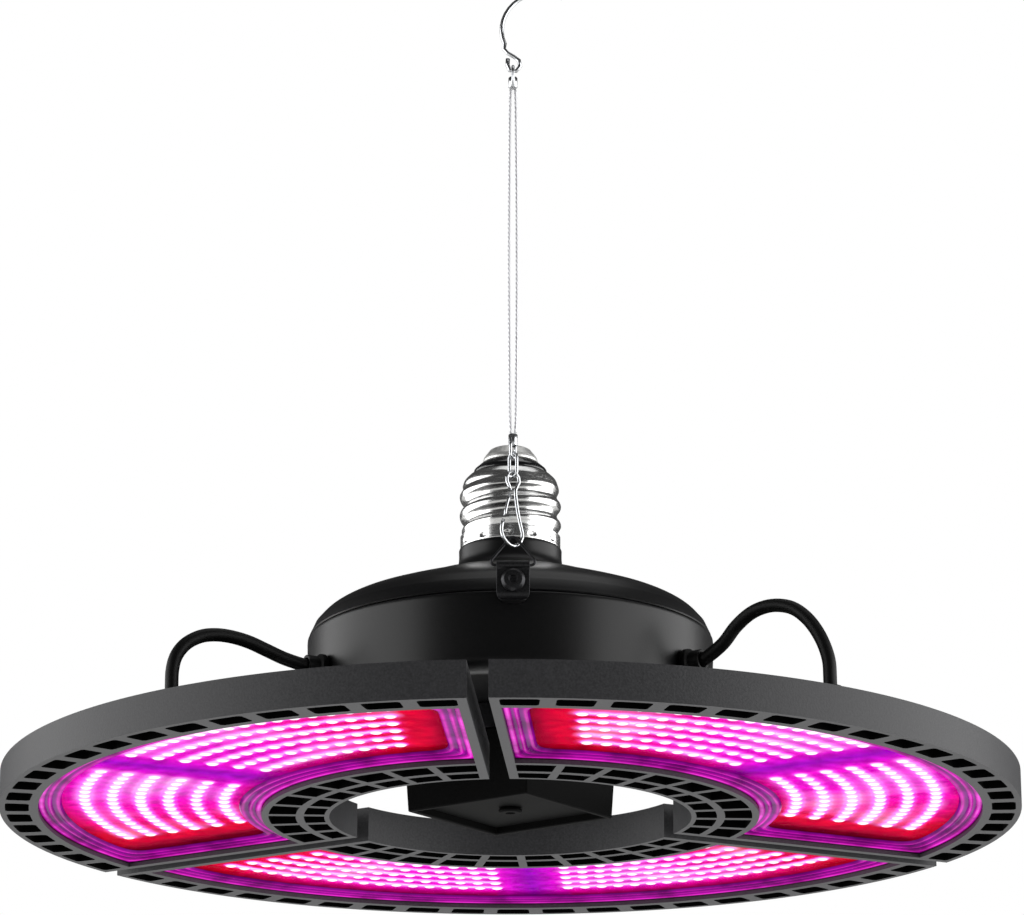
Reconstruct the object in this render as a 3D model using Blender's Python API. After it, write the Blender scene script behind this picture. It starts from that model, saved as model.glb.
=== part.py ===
"""LED grow light that screws into an E27 lamp holder.

Three 120 degree light panels hang on hinges from a driver housing and swing up. A wire tether with a
snap hook catches the lamp from a tab on the housing. The origin is the tip of the screw cap, +Z is up,
and every height below is measured up from the underside of the panels until lift() moves it.
"""

import math

import bmesh
import bpy
from mathutils import Matrix, Vector

MM = 0.001
GAP = 0.3 * MM  # running gap between pieces that touch

# Panels
PANEL_COUNT = 3
FIRST_PANEL_AZIMUTH = -30.0  # degrees, centre of panel 1
PANEL_OUTER_R = 130.0 * MM
PANEL_INNER_R = 46.3 * MM
PANEL_THICK = 9.0 * MM
PANEL_SPLIT = 2.5 * MM  # from a panel's side to the middle of the slit beside it
ARC_STEP = 4.0  # degrees between the points of a frame's arcs
PLATE_STEP = 6.0  # the same for the plates inside it
SIDE_BAR = 2.3 * MM
OUTER_BAND = 9.8 * MM  # from the rim to the window
INNER_BAND = 17.3 * MM
WINDOW_OUTER_R = PANEL_OUTER_R - OUTER_BAND
WINDOW_INNER_R = PANEL_INNER_R + INNER_BAND
LEDGE_HEIGHT = 1.0 * MM
LEDGE_WIDTH = 0.8 * MM
LENS_THICK = 1.2 * MM
BOARD_BOTTOM = 3.6 * MM
BOARD_THICK = 1.6 * MM

# Vents: (rows of slots) outer row, then two inner rows
OUTER_VENT_R = (WINDOW_OUTER_R + 2.3 * MM, PANEL_OUTER_R - 1.5 * MM)
OUTER_VENT_COUNT = 20
OUTER_VENT_BAR = 3.8 * MM
INNER_VENT_ROWS = ((PANEL_INNER_R + 8.6 * MM, PANEL_INNER_R + 15.5 * MM),
                   (PANEL_INNER_R + 1.3 * MM, PANEL_INNER_R + 6.5 * MM))
INNER_VENT_COUNT = 10
INNER_VENT_BAR = 2.2 * MM

# Heat sink on top of each panel
SINK_TOP_PLATE = PANEL_THICK + 1.0 * MM
FIN_HEIGHT = 4.0 * MM
FIN_THICK = 1.6 * MM
FIN_COUNT = 13
FIN_SPREAD = 98.0  # degrees from the first fin to the last
FIN_CLEAR_HALF = 4.0  # degrees each side of the middle that stay free for the lead's gland

# Fold hinges
HINGE_R = 56.0 * MM
KNUCKLE_R = 4.0 * MM
HINGE_Z = SINK_TOP_PLATE + KNUCKLE_R + 1.0 * MM
PIN_R = 1.5 * MM
ARM_WIDTH = 14.0 * MM
ARM_THICK = 5.0 * MM
EAR_THICK = 3.6 * MM
BRACKET_START_R = HINGE_R + 6.5 * MM
BRACKET_END_R = HINGE_R + 21.5 * MM
BRACKET_THICK = 2.6 * MM
FIN_R = (BRACKET_END_R + 1.5 * MM, WINDOW_OUTER_R - 16.2 * MM)
SPIDER_HUB_R = 21.0 * MM

# Hub block under the spider
HUB_BOTTOM = 0.9 * MM
HUB_TOP = 19.0 * MM
HUB_HALF_BOTTOM = 18.7 * MM
HUB_DRAFT = 0.9 * MM
HUB_TURN = 12.0  # degrees, azimuth of one corner
HUB_RIM = 1.3 * MM
HUB_RECESS = 1.8 * MM
HUB_COVER_THICK = 2.2 * MM
HUB_SCREW_R = 3.0 * MM

# Driver housing
BASE_Z = 26.0 * MM
SEAM_Z = 46.4 * MM
HOUSING_R = 52.5 * MM
HOUSING_WALL = 2.4 * MM
HOUSING_EDGE = 4.0 * MM  # radius round the foot of its wall
NECK_R = 13.4 * MM
NECK_TOP = 71.3 * MM
# The shoulder's curve, as shares of the way out from the neck and of the way up from the seam.
SHOULDER_CURVE = ((0.271, 0.6305), (0.399, 0.5582), (0.540, 0.4859), (0.680, 0.4096), (0.798, 0.3373),
                  (0.890, 0.2490), (0.957, 0.1365))
TURN_STEPS = 40

# Driver inside the housing
BOARD_R = 40.0 * MM
BOARD_LIFT = 5.0 * MM
BOARD_SHEET = 1.6 * MM
POST_R = 2.5 * MM
POST_RING_R = 34.0 * MM
TRANSFORMER_HALF = 10.0 * MM
TRANSFORMER_HEIGHT = 16.0 * MM
TRANSFORMER_X = -14.0 * MM
CAPACITOR_R = 8.0 * MM
CAPACITOR_HEIGHT = 20.0 * MM
CAPACITOR_AT = (12.0 * MM, 9.0 * MM)
CHOKE_R = (4.0 * MM, 8.0 * MM)
CHOKE_HEIGHT = 9.0 * MM
CHOKE_AT = (11.0 * MM, -14.0 * MM)

# Screw cap
CAP_THREAD_R = 13.25 * MM
CAP_ROOT_R = 12.15 * MM
CAP_SKIRT_R = 13.05 * MM
CAP_WALL = 0.5 * MM
CAP_SKIRT_TOP = 75.0 * MM
CAP_LIP_R = 9.4 * MM  # opening at the shell's top, round the insulator
THREAD_PITCH = 5.2 * MM
THREAD_TURNS = 2.6
THREAD_START = 0.47  # turns, where the first crest lies
CAP_STEPS = 24
INSULATOR_TOP = 95.0 * MM
CONTACT_R = 7.2 * MM
CONTACT_THICK = 3.7 * MM

# Leads from the housing to the panels
LEAD_R = 1.7 * MM
GROMMET_R = 3.4 * MM
GROMMET_LENGTH = 5.0 * MM
GLAND_R = 94.0 * MM
GLAND_TOP = 22.0 * MM
GLAND_BASE_R = 4.6 * MM
LEAD_EXIT_Z = 33.8 * MM
LEAD_STEP = 7.48 * MM  # between the rings of a lead's tube
# Each lead's middle points as (distance from the axis, height); the ends come from the grommet and gland.
LEAD_ROUTES = (
    ((63.5, 37.0), (67.5, 41.0), (71.8, 43.8), (76.2, 44.9), (80.5, 44.6), (84.6, 43.0), (88.6, 39.4),
     (91.8, 34.4), (93.7, 29.0)),
    ((64.5, 36.6), (68.5, 39.6), (72.6, 41.6), (76.6, 42.4), (80.6, 42.2), (84.6, 40.8), (88.6, 37.6),
     (91.8, 33.2), (93.6, 28.6)),
    ((63.5, 34.9), (68.5, 36.5), (73.5, 38.1), (78.3, 38.9), (82.6, 38.9), (86.6, 38.0), (90.4, 35.7),
     (92.9, 32.4), (93.9, 28.6)),
)

# Hanging set
TETHER_AZIMUTH = -86.0
TAB_HALF = 4.1 * MM
TAB_SHEET = 1.0 * MM
TAB_R = HOUSING_R + TAB_SHEET / 2 + 1.0 * MM  # from the axis to the middle of the tab's sheet
TAB_BOTTOM = 42.9 * MM
TAB_SCREW_Z = 48.2 * MM
TAB_SCREW_R = 1.5 * MM
TAB_HEAD_R = 3.0 * MM
ROLL_Z = 52.3 * MM
ROLL_R = 1.15 * MM
ROLL_BORE = 0.65 * MM
RING_WIRE = 0.38 * MM  # wire radius
RING_HALF = 5.4 * MM
RING_APEX_Z = 59.5 * MM
CLIP_WIRE = 0.45 * MM
CLIP_TURN = 34.0  # degrees about the vertical
CLIP_BOTTOM_Z = 57.2 * MM
CLIP_NECK_Z = 71.2 * MM
CLIP_TOP_Z = 76.4 * MM
LINK_WIRE = 0.42 * MM
LINK_BOTTOM_Z = 75.15 * MM
LINK_TOP_Z = 81.3 * MM
CRIMP_EYE_Z = 81.6 * MM
CRIMP_BOTTOM = 83.0 * MM
CRIMP_TOP = 86.2 * MM
CRIMP_R = 1.15 * MM
STRAND_R = 0.35 * MM
STRAND_SPLIT = 0.55 * MM
FERRULE_BOTTOM = 179.0 * MM
FERRULE_TOP = 182.0 * MM
FERRULE_EYE_Z = 184.9 * MM
TOP_HOOK_WIRE = 0.55 * MM
TOP_HOOK_ARC_R = 10.4 * MM
TOP_HOOK_ARC_Z = 195.0 * MM
TOP_HOOK_END = 60.0  # degrees, where the arc stops

TIP_Z = INSULATOR_TOP + CONTACT_THICK  # the cap's tip, which is the origin


def lift(z):
    """Height above the panels' underside -> world height below the cap's tip."""
    return z - TIP_Z


# ---------------------------------------------------------------- small tools

def clear_scene():
    for obj in list(bpy.data.objects):
        bpy.data.objects.remove(obj, do_unlink=True)


def material(name, colour, roughness, metallic=0.0):
    found = bpy.data.materials.get(name)
    if found:
        return found
    made = bpy.data.materials.new(name)
    made.use_nodes = True
    shader = made.node_tree.nodes["Principled BSDF"]
    shader.inputs["Base Color"].default_value = (*colour, 1.0)
    shader.inputs["Roughness"].default_value = roughness
    shader.inputs["Metallic"].default_value = metallic
    made.diffuse_color = (*colour, 1.0)
    return made


def add_object(name, data, finish=None, parent=None, place=None):
    obj = bpy.data.objects.new(name, data)
    bpy.context.scene.collection.objects.link(obj)
    if finish:
        data.materials.append(finish)
    obj.parent = parent
    if place is not None:
        obj.matrix_local = place
    return obj


def add_empty(name, place, parent=None):
    empty = bpy.data.objects.new(name, None)
    bpy.context.scene.collection.objects.link(empty)
    empty.empty_display_size = 5 * MM
    empty.parent = parent
    empty.matrix_local = place
    return empty


def mesh_from(bm, name, smooth=True):
    bmesh.ops.recalc_face_normals(bm, faces=bm.faces)
    mesh = bpy.data.meshes.new(name)
    bm.to_mesh(mesh)
    bm.free()
    if smooth:
        mesh.shade_smooth()
        mesh.set_sharp_from_angle(angle=math.radians(35))
    return mesh


def fill_prism(bm, outlines, z_low, z_high):
    """One prism whose first outline is its edge and whose other outlines are holes."""
    edges = []
    for outline in outlines:
        ring = [bm.verts.new((x, y, z_low)) for x, y in outline]
        edges += [bm.edges.new((ring[i - 1], ring[i])) for i in range(len(ring))]
    bottom = bmesh.ops.triangle_fill(bm, use_beauty=True, edges=edges)
    faces = [item for item in bottom["geom"] if isinstance(item, bmesh.types.BMFace)]
    grown = bmesh.ops.extrude_face_region(bm, geom=faces)
    moved = [item for item in grown["geom"] if isinstance(item, bmesh.types.BMVert)]
    bmesh.ops.translate(bm, verts=moved, vec=(0, 0, z_high - z_low))


def prism(name, outlines, z_low, z_high, smooth=True):
    bm = bmesh.new()
    fill_prism(bm, outlines, z_low, z_high)
    return mesh_from(bm, name, smooth)


def turned(name, profile, steps=TURN_STEPS, closed=False):
    """A solid of revolution about Z. The profile runs from axis to axis, or round a closed section."""
    bm = bmesh.new()
    rings = []
    for radius, z in profile:
        if radius == 0:
            rings.append([bm.verts.new((0, 0, z))])
            continue
        angles = [2 * math.pi * i / steps for i in range(steps)]
        rings.append([bm.verts.new((radius * math.cos(a), radius * math.sin(a), z)) for a in angles])
    pairs = list(zip(rings, rings[1:]))
    if closed:
        pairs.append((rings[-1], rings[0]))
    for low, high in pairs:
        for i in range(steps):
            j = (i + 1) % steps
            if len(low) == 1:
                bm.faces.new((low[0], high[i], high[j]))
            elif len(high) == 1:
                bm.faces.new((low[i], high[0], low[j]))
            else:
                bm.faces.new((low[i], high[i], high[j], low[j]))
    return mesh_from(bm, name)


def rod(name, radius, low, high, steps=16):
    return turned(name, [(0, low), (radius, low), (radius, high), (0, high)], steps)


def arc(centre, radius, start, end, steps):
    """Points (a, b) along an arc, angles in degrees, both ends included."""
    points = []
    for i in range(steps + 1):
        angle = math.radians(start + (end - start) * i / steps)
        points.append((centre[0] + radius * math.cos(angle), centre[1] + radius * math.sin(angle)))
    return points


def cut(target, cutter):
    cutter.hide_render = True
    cutter.display_type = "WIRE"
    modifier = target.modifiers.new("cut_" + cutter.name, "BOOLEAN")
    modifier.operation = "DIFFERENCE"
    modifier.solver = "EXACT"
    modifier.object = cutter


def smooth_route(points, spacing):
    """Points a set distance apart along a Catmull-Rom curve through the given points."""
    padded = [2 * points[0] - points[1], *points, 2 * points[-1] - points[-2]]
    fine = []
    for a, b, c, d in zip(padded, padded[1:], padded[2:], padded[3:]):
        for i in range(24):
            t = i / 24
            fine.append(0.5 * ((2 * b) + (c - a) * t + (2 * a - 5 * b + 4 * c - d) * t * t
                               + (3 * b - a - 3 * c + d) * t ** 3))
    fine.append(points[-1])
    total = sum((q - p).length for p, q in zip(fine, fine[1:]))
    count = max(2, round(total / spacing))
    route, walked, target = [fine[0]], 0.0, total / count
    for p, q in zip(fine, fine[1:]):
        step = (q - p).length
        while len(route) < count and walked + step >= target * len(route):
            route.append(p.lerp(q, (target * len(route) - walked) / step))
        walked += step
    route.append(fine[-1])
    return route


def wire(name, points, radius, finish, parent=None, place=None, resolution=2, spacing=None, cyclic=False):
    """A round wire as a bevelled poly curve through a smooth route."""
    points = [Vector(point) for point in points]
    route = smooth_route(points, spacing or 2.2 * radius * 2) if not cyclic else points
    curve = bpy.data.curves.new(name, "CURVE")
    curve.dimensions = "3D"
    curve.bevel_depth = radius
    curve.bevel_resolution = resolution
    curve.use_fill_caps = True
    spline = curve.splines.new("POLY")
    spline.points.add(len(route) - 1)
    for target, point in zip(spline.points, route):
        target.co = (*point, 1.0)
    spline.use_cyclic_u = cyclic
    return add_object(name, curve, finish, parent, place)


def turn_z(degrees):
    return Matrix.Rotation(math.radians(degrees), 4, "Z")


def panel_azimuth(index):
    return FIRST_PANEL_AZIMUTH + index * 360.0 / PANEL_COUNT


# ---------------------------------------------------------------- materials

def finishes():
    return {
        "satin_black": material("satin_black_housing", (0.012, 0.012, 0.013), 0.38),
        "dark_grey": material("dark_grey_panel", (0.08, 0.08, 0.082), 0.5),
        "lens": material("clear_lens", (0.75, 0.1, 0.62), 0.15),
        "board": material("white_board", (0.75, 0.2, 0.6), 0.5),
        "sink": material("black_aluminium", (0.03, 0.03, 0.032), 0.45, 0.6),
        "nickel": material("nickel_cap", (0.75, 0.74, 0.72), 0.18, 1.0),
        "steel": material("bright_steel", (0.7, 0.71, 0.72), 0.25, 1.0),
        "black_steel": material("black_steel", (0.02, 0.02, 0.02), 0.35, 0.5),
        "rubber": material("black_rubber", (0.015, 0.015, 0.015), 0.6),
        "insulator": material("black_insulator", (0.01, 0.01, 0.012), 0.2),
        "green_board": material("green_circuit_board", (0.02, 0.16, 0.05), 0.5),
        "component": material("driver_component", (0.35, 0.3, 0.12), 0.6),
    }


# ---------------------------------------------------------------- panels

def sector(radius_in, radius_out, side, step=ARC_STEP):
    """Outline of an annular sector centred on +X whose sides lie `side` from the slits' middles."""
    half = math.degrees(math.pi / PANEL_COUNT)
    steps = max(2, round(2 * half / step))
    trim_out = half - math.degrees(math.asin(side / radius_out))
    trim_in = half - math.degrees(math.asin(side / radius_in))
    outer = arc((0, 0), radius_out, -trim_out, trim_out, steps)
    return outer + arc((0, 0), radius_in, trim_in, -trim_in, steps)


def vent_slots(radii, count, bar):
    """Outlines of one row of slots between bars of constant width."""
    half = math.degrees(math.pi / PANEL_COUNT) - math.degrees(
        math.asin((PANEL_SPLIT + SIDE_BAR - bar / 2) / radii[0]))
    pitch = 2 * half / count
    outlines = []
    for k in range(count):
        middle = -half + pitch * (k + 0.5)
        corners = []
        for radius, side in ((radii[1], -1), (radii[1], 1), (radii[0], 1), (radii[0], -1)):
            reach = pitch / 2 - math.degrees(math.asin(bar / 2 / radius))
            corners.append(arc((0, 0), radius, middle + side * reach, middle + side * reach, 1)[0])
        outlines.append(corners)
    return outlines


def panel_frame_mesh():
    slots = vent_slots(OUTER_VENT_R, OUTER_VENT_COUNT, OUTER_VENT_BAR)
    for row in INNER_VENT_ROWS:
        slots += vent_slots(row, INNER_VENT_COUNT, INNER_VENT_BAR)
    edge = sector(PANEL_INNER_R, PANEL_OUTER_R, PANEL_SPLIT)
    return prism("panel_frame", [edge, *slots], 0, PANEL_THICK)


def recess(extra, step=ARC_STEP):
    """Outline inside the window, grown by `extra` on every side."""
    return sector(WINDOW_INNER_R - extra, WINDOW_OUTER_R + extra, PANEL_SPLIT + SIDE_BAR - extra, step)


def window_cutters():
    through = prism("window_cutter", [recess(0)], -1 * MM, LEDGE_HEIGHT + 1 * MM)
    pocket = prism("pocket_cutter", [recess(LEDGE_WIDTH)], LEDGE_HEIGHT, PANEL_THICK + 1 * MM)
    return through, pocket


def fitted_plate(name, z_low, z_high):
    return prism(name, [recess(LEDGE_WIDTH - GAP, PLATE_STEP)], z_low, z_high)


def fins_mesh():
    bm = bmesh.new()
    for k in range(FIN_COUNT):
        angle = -FIN_SPREAD / 2 + FIN_SPREAD * k / (FIN_COUNT - 1)
        if abs(angle) < FIN_CLEAR_HALF:
            continue
        low, high = FIN_R
        corners = [(low, -FIN_THICK / 2), (high, -FIN_THICK / 2), (high, FIN_THICK / 2), (low, FIN_THICK / 2)]
        spin = Matrix.Rotation(math.radians(angle), 2)
        outline = [tuple(spin @ Vector(corner)) for corner in corners]
        part = bmesh.new()
        fill_prism(part, [outline], SINK_TOP_PLATE - 1 * MM, SINK_TOP_PLATE + FIN_HEIGHT)
        piece = bpy.data.meshes.new("fin")
        part.to_mesh(piece)
        part.free()
        bm.from_mesh(piece)
        bpy.data.meshes.remove(piece)
    return mesh_from(bm, "fins")


def unite(target, tool):
    tool.hide_render = True
    tool.display_type = "WIRE"
    modifier = target.modifiers.new("join_" + tool.name, "BOOLEAN")
    modifier.operation = "UNION"
    modifier.solver = "EXACT"
    modifier.object = tool


def side_plate(name, outline, y_low, y_high):
    """A prism along Y from an outline of (x, z) points."""
    bm = bmesh.new()
    fill_prism(bm, [outline], y_low, y_high)
    bmesh.ops.transform(bm, matrix=Matrix.Rotation(math.radians(90), 4, "X"), verts=bm.verts)
    bmesh.ops.scale(bm, vec=(1, -1, 1), verts=bm.verts)
    return mesh_from(bm, name)


def bracket_outline():
    """Side view of an ear: a round end on the hinge axis that runs down into the bracket's plate."""
    foot_low = SINK_TOP_PLATE + GAP + 0.3 * BRACKET_THICK
    foot_top = SINK_TOP_PLATE + GAP + 1.4 * BRACKET_THICK
    round_end = arc((HINGE_R, HINGE_Z), KNUCKLE_R, 60, 285, 10)
    foot = [(HINGE_R + 8 * MM, foot_low), (HINGE_R + 15 * MM, foot_low), (HINGE_R + 15 * MM, foot_top)]
    return round_end + foot


def add_panel(index, shared, finish):
    azimuth = panel_azimuth(index)
    name = str(index + 1)
    axis_place = turn_z(azimuth) @ Matrix.Translation((HINGE_R, 0, lift(HINGE_Z)))
    hinge = add_empty("panel_hinge_" + name, axis_place)
    back = Matrix.Translation((-HINGE_R, 0, -HINGE_Z))
    frame = add_object("panel_frame_" + name, shared["frame"], finish["dark_grey"], hinge, back)
    for cutter in ("window", "pocket"):
        cut(frame, add_object(cutter + "_cutter_" + name, shared[cutter], None, hinge, back))
    add_object("lens_" + name, shared["lens"], finish["lens"], hinge, back)
    add_object("led_board_" + name, shared["board"], finish["board"], hinge, back)
    sink = add_object("heat_sink_" + name, shared["sink"], finish["sink"], hinge, back)
    unite(sink, add_object("fins_" + name, shared["fins"], None, hinge, back))
    bracket = add_object("hinge_bracket_" + name, shared["bracket"], finish["sink"], hinge, back)
    for side in ("left", "right"):
        unite(bracket, add_object(f"ear_{side}_{name}", shared["ear_" + side], None, hinge, back))
    cut(bracket, add_object("ear_bore_" + name, shared["bore"], None, hinge))
    add_object("hinge_pin_" + name, shared["pin"], finish["steel"], hinge)
    place = back @ Matrix.Translation((GLAND_R, 0, 0))
    add_object("lead_gland_" + name, shared["gland"], finish["satin_black"], hinge, place)


def gland_mesh():
    base = SINK_TOP_PLATE + GAP
    collar = 0.62 * (GLAND_TOP - base)
    bore = LEAD_R + GAP
    floor = base + 0.3 * collar
    nut_r = GLAND_BASE_R - 0.8 * MM
    profile = [(0, base), (GLAND_BASE_R, base), (GLAND_BASE_R, floor), (nut_r, base + 0.42 * collar),
               (nut_r, base + collar), (bore + 0.9 * MM, GLAND_TOP), (bore, GLAND_TOP), (bore, floor),
               (0, floor - 0.4 * MM)]
    return turned("lead_gland", profile, 16)


def panel_meshes():
    window, pocket = window_cutters()
    ear_low = ARM_WIDTH / 2 + GAP
    ear_high = ear_low + EAR_THICK
    plate_half = ear_high + 1.0 * MM
    plate = [(BRACKET_START_R, -plate_half), (BRACKET_END_R, -plate_half), (BRACKET_END_R, plate_half),
             (BRACKET_START_R, plate_half)]
    pin_half = ear_high + 1.2 * MM
    head_low, head_r = pin_half - 1.0 * MM, PIN_R + 1.0 * MM
    pin = turned("hinge_pin", [(0, -pin_half), (PIN_R, -pin_half), (PIN_R, head_low), (head_r, head_low),
                               (head_r, pin_half), (0, pin_half)], 16)
    bore = rod("ear_bore", PIN_R + GAP, -2 * pin_half, 2 * pin_half)
    for mesh in (pin, bore):
        mesh.transform(Matrix.Rotation(math.radians(90), 4, "X"))
    plate_low = SINK_TOP_PLATE + GAP
    return {
        "frame": panel_frame_mesh(),
        "window": window,
        "pocket": pocket,
        "lens": fitted_plate("lens", LEDGE_HEIGHT + GAP, LEDGE_HEIGHT + GAP + LENS_THICK),
        "board": fitted_plate("led_board", BOARD_BOTTOM, BOARD_BOTTOM + BOARD_THICK),
        "sink": fitted_plate("heat_sink", BOARD_BOTTOM + BOARD_THICK + GAP, SINK_TOP_PLATE),
        "fins": fins_mesh(),
        "bracket": prism("hinge_bracket", [plate], plate_low, plate_low + BRACKET_THICK),
        "ear_left": side_plate("ear_left", bracket_outline(), -ear_high, -ear_low),
        "ear_right": side_plate("ear_right", bracket_outline(), ear_low, ear_high),
        "bore": bore,
        "pin": pin,
        "gland": gland_mesh(),
    }


# ---------------------------------------------------------------- hinge spider and hub

def arm_outline():
    """Side view of one arm: a flat bar from the hub that bends down to a knuckle on the hinge axis."""
    low = HUB_TOP + GAP
    high = low + ARM_THICK
    bend = HINGE_R - 9 * MM
    root = SPIDER_HUB_R - 4 * MM
    knuckle = arc((HINGE_R, HINGE_Z), KNUCKLE_R, -135, 60, 9)
    return [(root, low), (bend, low), *knuckle, (bend + 4 * MM, high), (root, high)]


def add_spider(finish, bore):
    low = HUB_TOP + GAP
    hub = rod("spider_hub", SPIDER_HUB_R, low, BASE_Z - GAP, 48)
    base = Matrix.Translation((0, 0, lift(0)))
    spider = add_object("hinge_spider", hub, finish["sink"], None, base)
    arm = side_plate("spider_arm", arm_outline(), -ARM_WIDTH / 2, ARM_WIDTH / 2)
    for index in range(PANEL_COUNT):
        turn = turn_z(panel_azimuth(index))
        unite(spider, add_object(f"spider_arm_{index + 1}", arm, None, None, base @ turn))
    for index in range(PANEL_COUNT):
        turn = turn_z(panel_azimuth(index))
        place = turn @ Matrix.Translation((HINGE_R, 0, lift(HINGE_Z)))
        cut(spider, add_object(f"knuckle_bore_{index + 1}", bore, None, None, place))


def square(half):
    return [(-half, -half), (half, -half), (half, half), (-half, half)]


def add_hub(finish):
    """The drafted square block, the cover let into its underside, and the cover's screw."""
    place = Matrix.Translation((0, 0, lift(0))) @ turn_z(HUB_TURN - 45)
    bm = bmesh.new()
    fill_prism(bm, [square(HUB_HALF_BOTTOM)], HUB_BOTTOM, HUB_TOP)
    for vert in bm.verts:
        if vert.co.z > (HUB_BOTTOM + HUB_TOP) / 2:
            vert.co.xy *= (HUB_HALF_BOTTOM + HUB_DRAFT) / HUB_HALF_BOTTOM
    bmesh.ops.recalc_face_normals(bm, faces=bm.faces)
    uprights = [edge for edge in bm.edges if abs(edge.verts[0].co.z - edge.verts[1].co.z) > MM
                and edge.calc_face_angle(0) > 0.5]
    bmesh.ops.bevel(bm, geom=uprights, offset=1.0 * MM, segments=3, profile=0.5, affect="EDGES")
    block = add_object("hub_block", mesh_from(bm, "hub_block"), finish["satin_black"], None, place)
    cover_low = HUB_BOTTOM + HUB_RECESS
    pocket_half = HUB_HALF_BOTTOM - HUB_RIM
    pocket = prism("hub_pocket", [square(pocket_half)], HUB_BOTTOM - MM, cover_low + HUB_COVER_THICK + GAP)
    cut(block, add_object("hub_pocket_cutter", pocket, None, None, place))
    shank = HUB_SCREW_R / 2
    shank_top = HUB_TOP - 6 * MM
    bore = rod("hub_bore", shank + GAP, 0, shank_top + 1 * MM)
    cut(block, add_object("hub_bore_cutter", bore, None, None, place))
    plate = prism("hub_cover", [square(pocket_half - GAP)], cover_low, cover_low + HUB_COVER_THICK)
    cover = add_object("hub_cover", plate, finish["satin_black"], None, place)
    cut(cover, add_object("cover_bore_cutter", bore, None, None, place))
    head_low = cover_low - GAP - 1.0 * MM
    profile = [(0, head_low + 0.5 * MM), (1.1 * MM, head_low + 0.5 * MM), (1.3 * MM, head_low),
               (HUB_SCREW_R - 0.4 * MM, head_low), (HUB_SCREW_R, head_low + 0.4 * MM),
               (HUB_SCREW_R, cover_low - GAP), (shank, cover_low - GAP), (shank, shank_top), (0, shank_top)]
    add_object("hub_screw", turned("hub_screw", profile, 20), finish["black_steel"], None, place)


# ---------------------------------------------------------------- driver housing

def upper_outside():
    """The shoulder's outside from the neck's top edge down to the seam."""
    neck = [(NECK_R, NECK_TOP), (NECK_R, NECK_TOP - 2.8 * MM), (NECK_R + 0.3 * MM, NECK_TOP - 4.4 * MM),
            (NECK_R + 1.3 * MM, NECK_TOP - 5.9 * MM), (NECK_R + 3.2 * MM, NECK_TOP - 7.1 * MM),
            (NECK_R + 6.1 * MM, NECK_TOP - 8.0 * MM)]
    curve = [(NECK_R + out * (HOUSING_R - NECK_R), SEAM_Z + up * (NECK_TOP - SEAM_Z))
             for out, up in SHOULDER_CURVE]
    seam = [(HOUSING_R - 0.35 * MM, SEAM_Z + 0.9 * MM), (HOUSING_R - 0.5 * MM, SEAM_Z + GAP / 2)]
    return neck + curve + seam


def add_housing(finish):
    base = Matrix.Translation((0, 0, lift(0)))
    outside = upper_outside()
    inside = [(radius - HOUSING_WALL, z - 0.7 * HOUSING_WALL) for radius, z in reversed(outside[5:-2:2])]
    neck_bore = CAP_ROOT_R - 3.4 * MM
    spigot = CAP_ROOT_R - CAP_WALL - GAP - 0.4 * MM
    spigot_top = NECK_TOP + 3.0 * MM
    inside = [(outside[-1][0] - HOUSING_WALL, outside[-1][1])] + inside
    inside += [(neck_bore, NECK_TOP - 9.3 * MM), (neck_bore, spigot_top), (spigot, spigot_top),
               (spigot, NECK_TOP)]
    upper = turned("upper_housing", outside + inside, TURN_STEPS, closed=True)
    shell = add_object("upper_housing", upper, finish["satin_black"], None, base)
    draft = 0.8 * MM
    foot_r = HOUSING_R - draft - HOUSING_EDGE
    wall_r = HOUSING_R - HOUSING_WALL
    profile = [(0, BASE_Z), (foot_r, BASE_Z)]
    profile += arc((foot_r, BASE_Z + HOUSING_EDGE), HOUSING_EDGE, -60, 0, 4)
    profile += [(HOUSING_R - 0.1 * MM, SEAM_Z - 6 * MM), (HOUSING_R, SEAM_Z - 1 * MM),
                (HOUSING_R, SEAM_Z - GAP / 2), (wall_r, SEAM_Z - GAP / 2),
                (wall_r - draft, BASE_Z + HOUSING_EDGE), (wall_r - 3 * MM, BASE_Z + HOUSING_WALL),
                (0, BASE_Z + HOUSING_WALL)]
    lower = add_object("lower_housing", turned("lower_housing", profile), finish["satin_black"], None, base)
    hole_r = GROMMET_R - 0.9 * MM
    hole = rod("grommet_hole", hole_r, HOUSING_R / 2, 1.3 * HOUSING_R, 20)
    hole.transform(Matrix.Rotation(math.radians(90), 4, "Y"))
    for index in range(PANEL_COUNT):
        place = turn_z(panel_azimuth(index)) @ Matrix.Translation((0, 0, lift(LEAD_EXIT_Z)))
        cut(lower, add_object(f"grommet_hole_{index + 1}", hole, None, None, place))
    return shell


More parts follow.
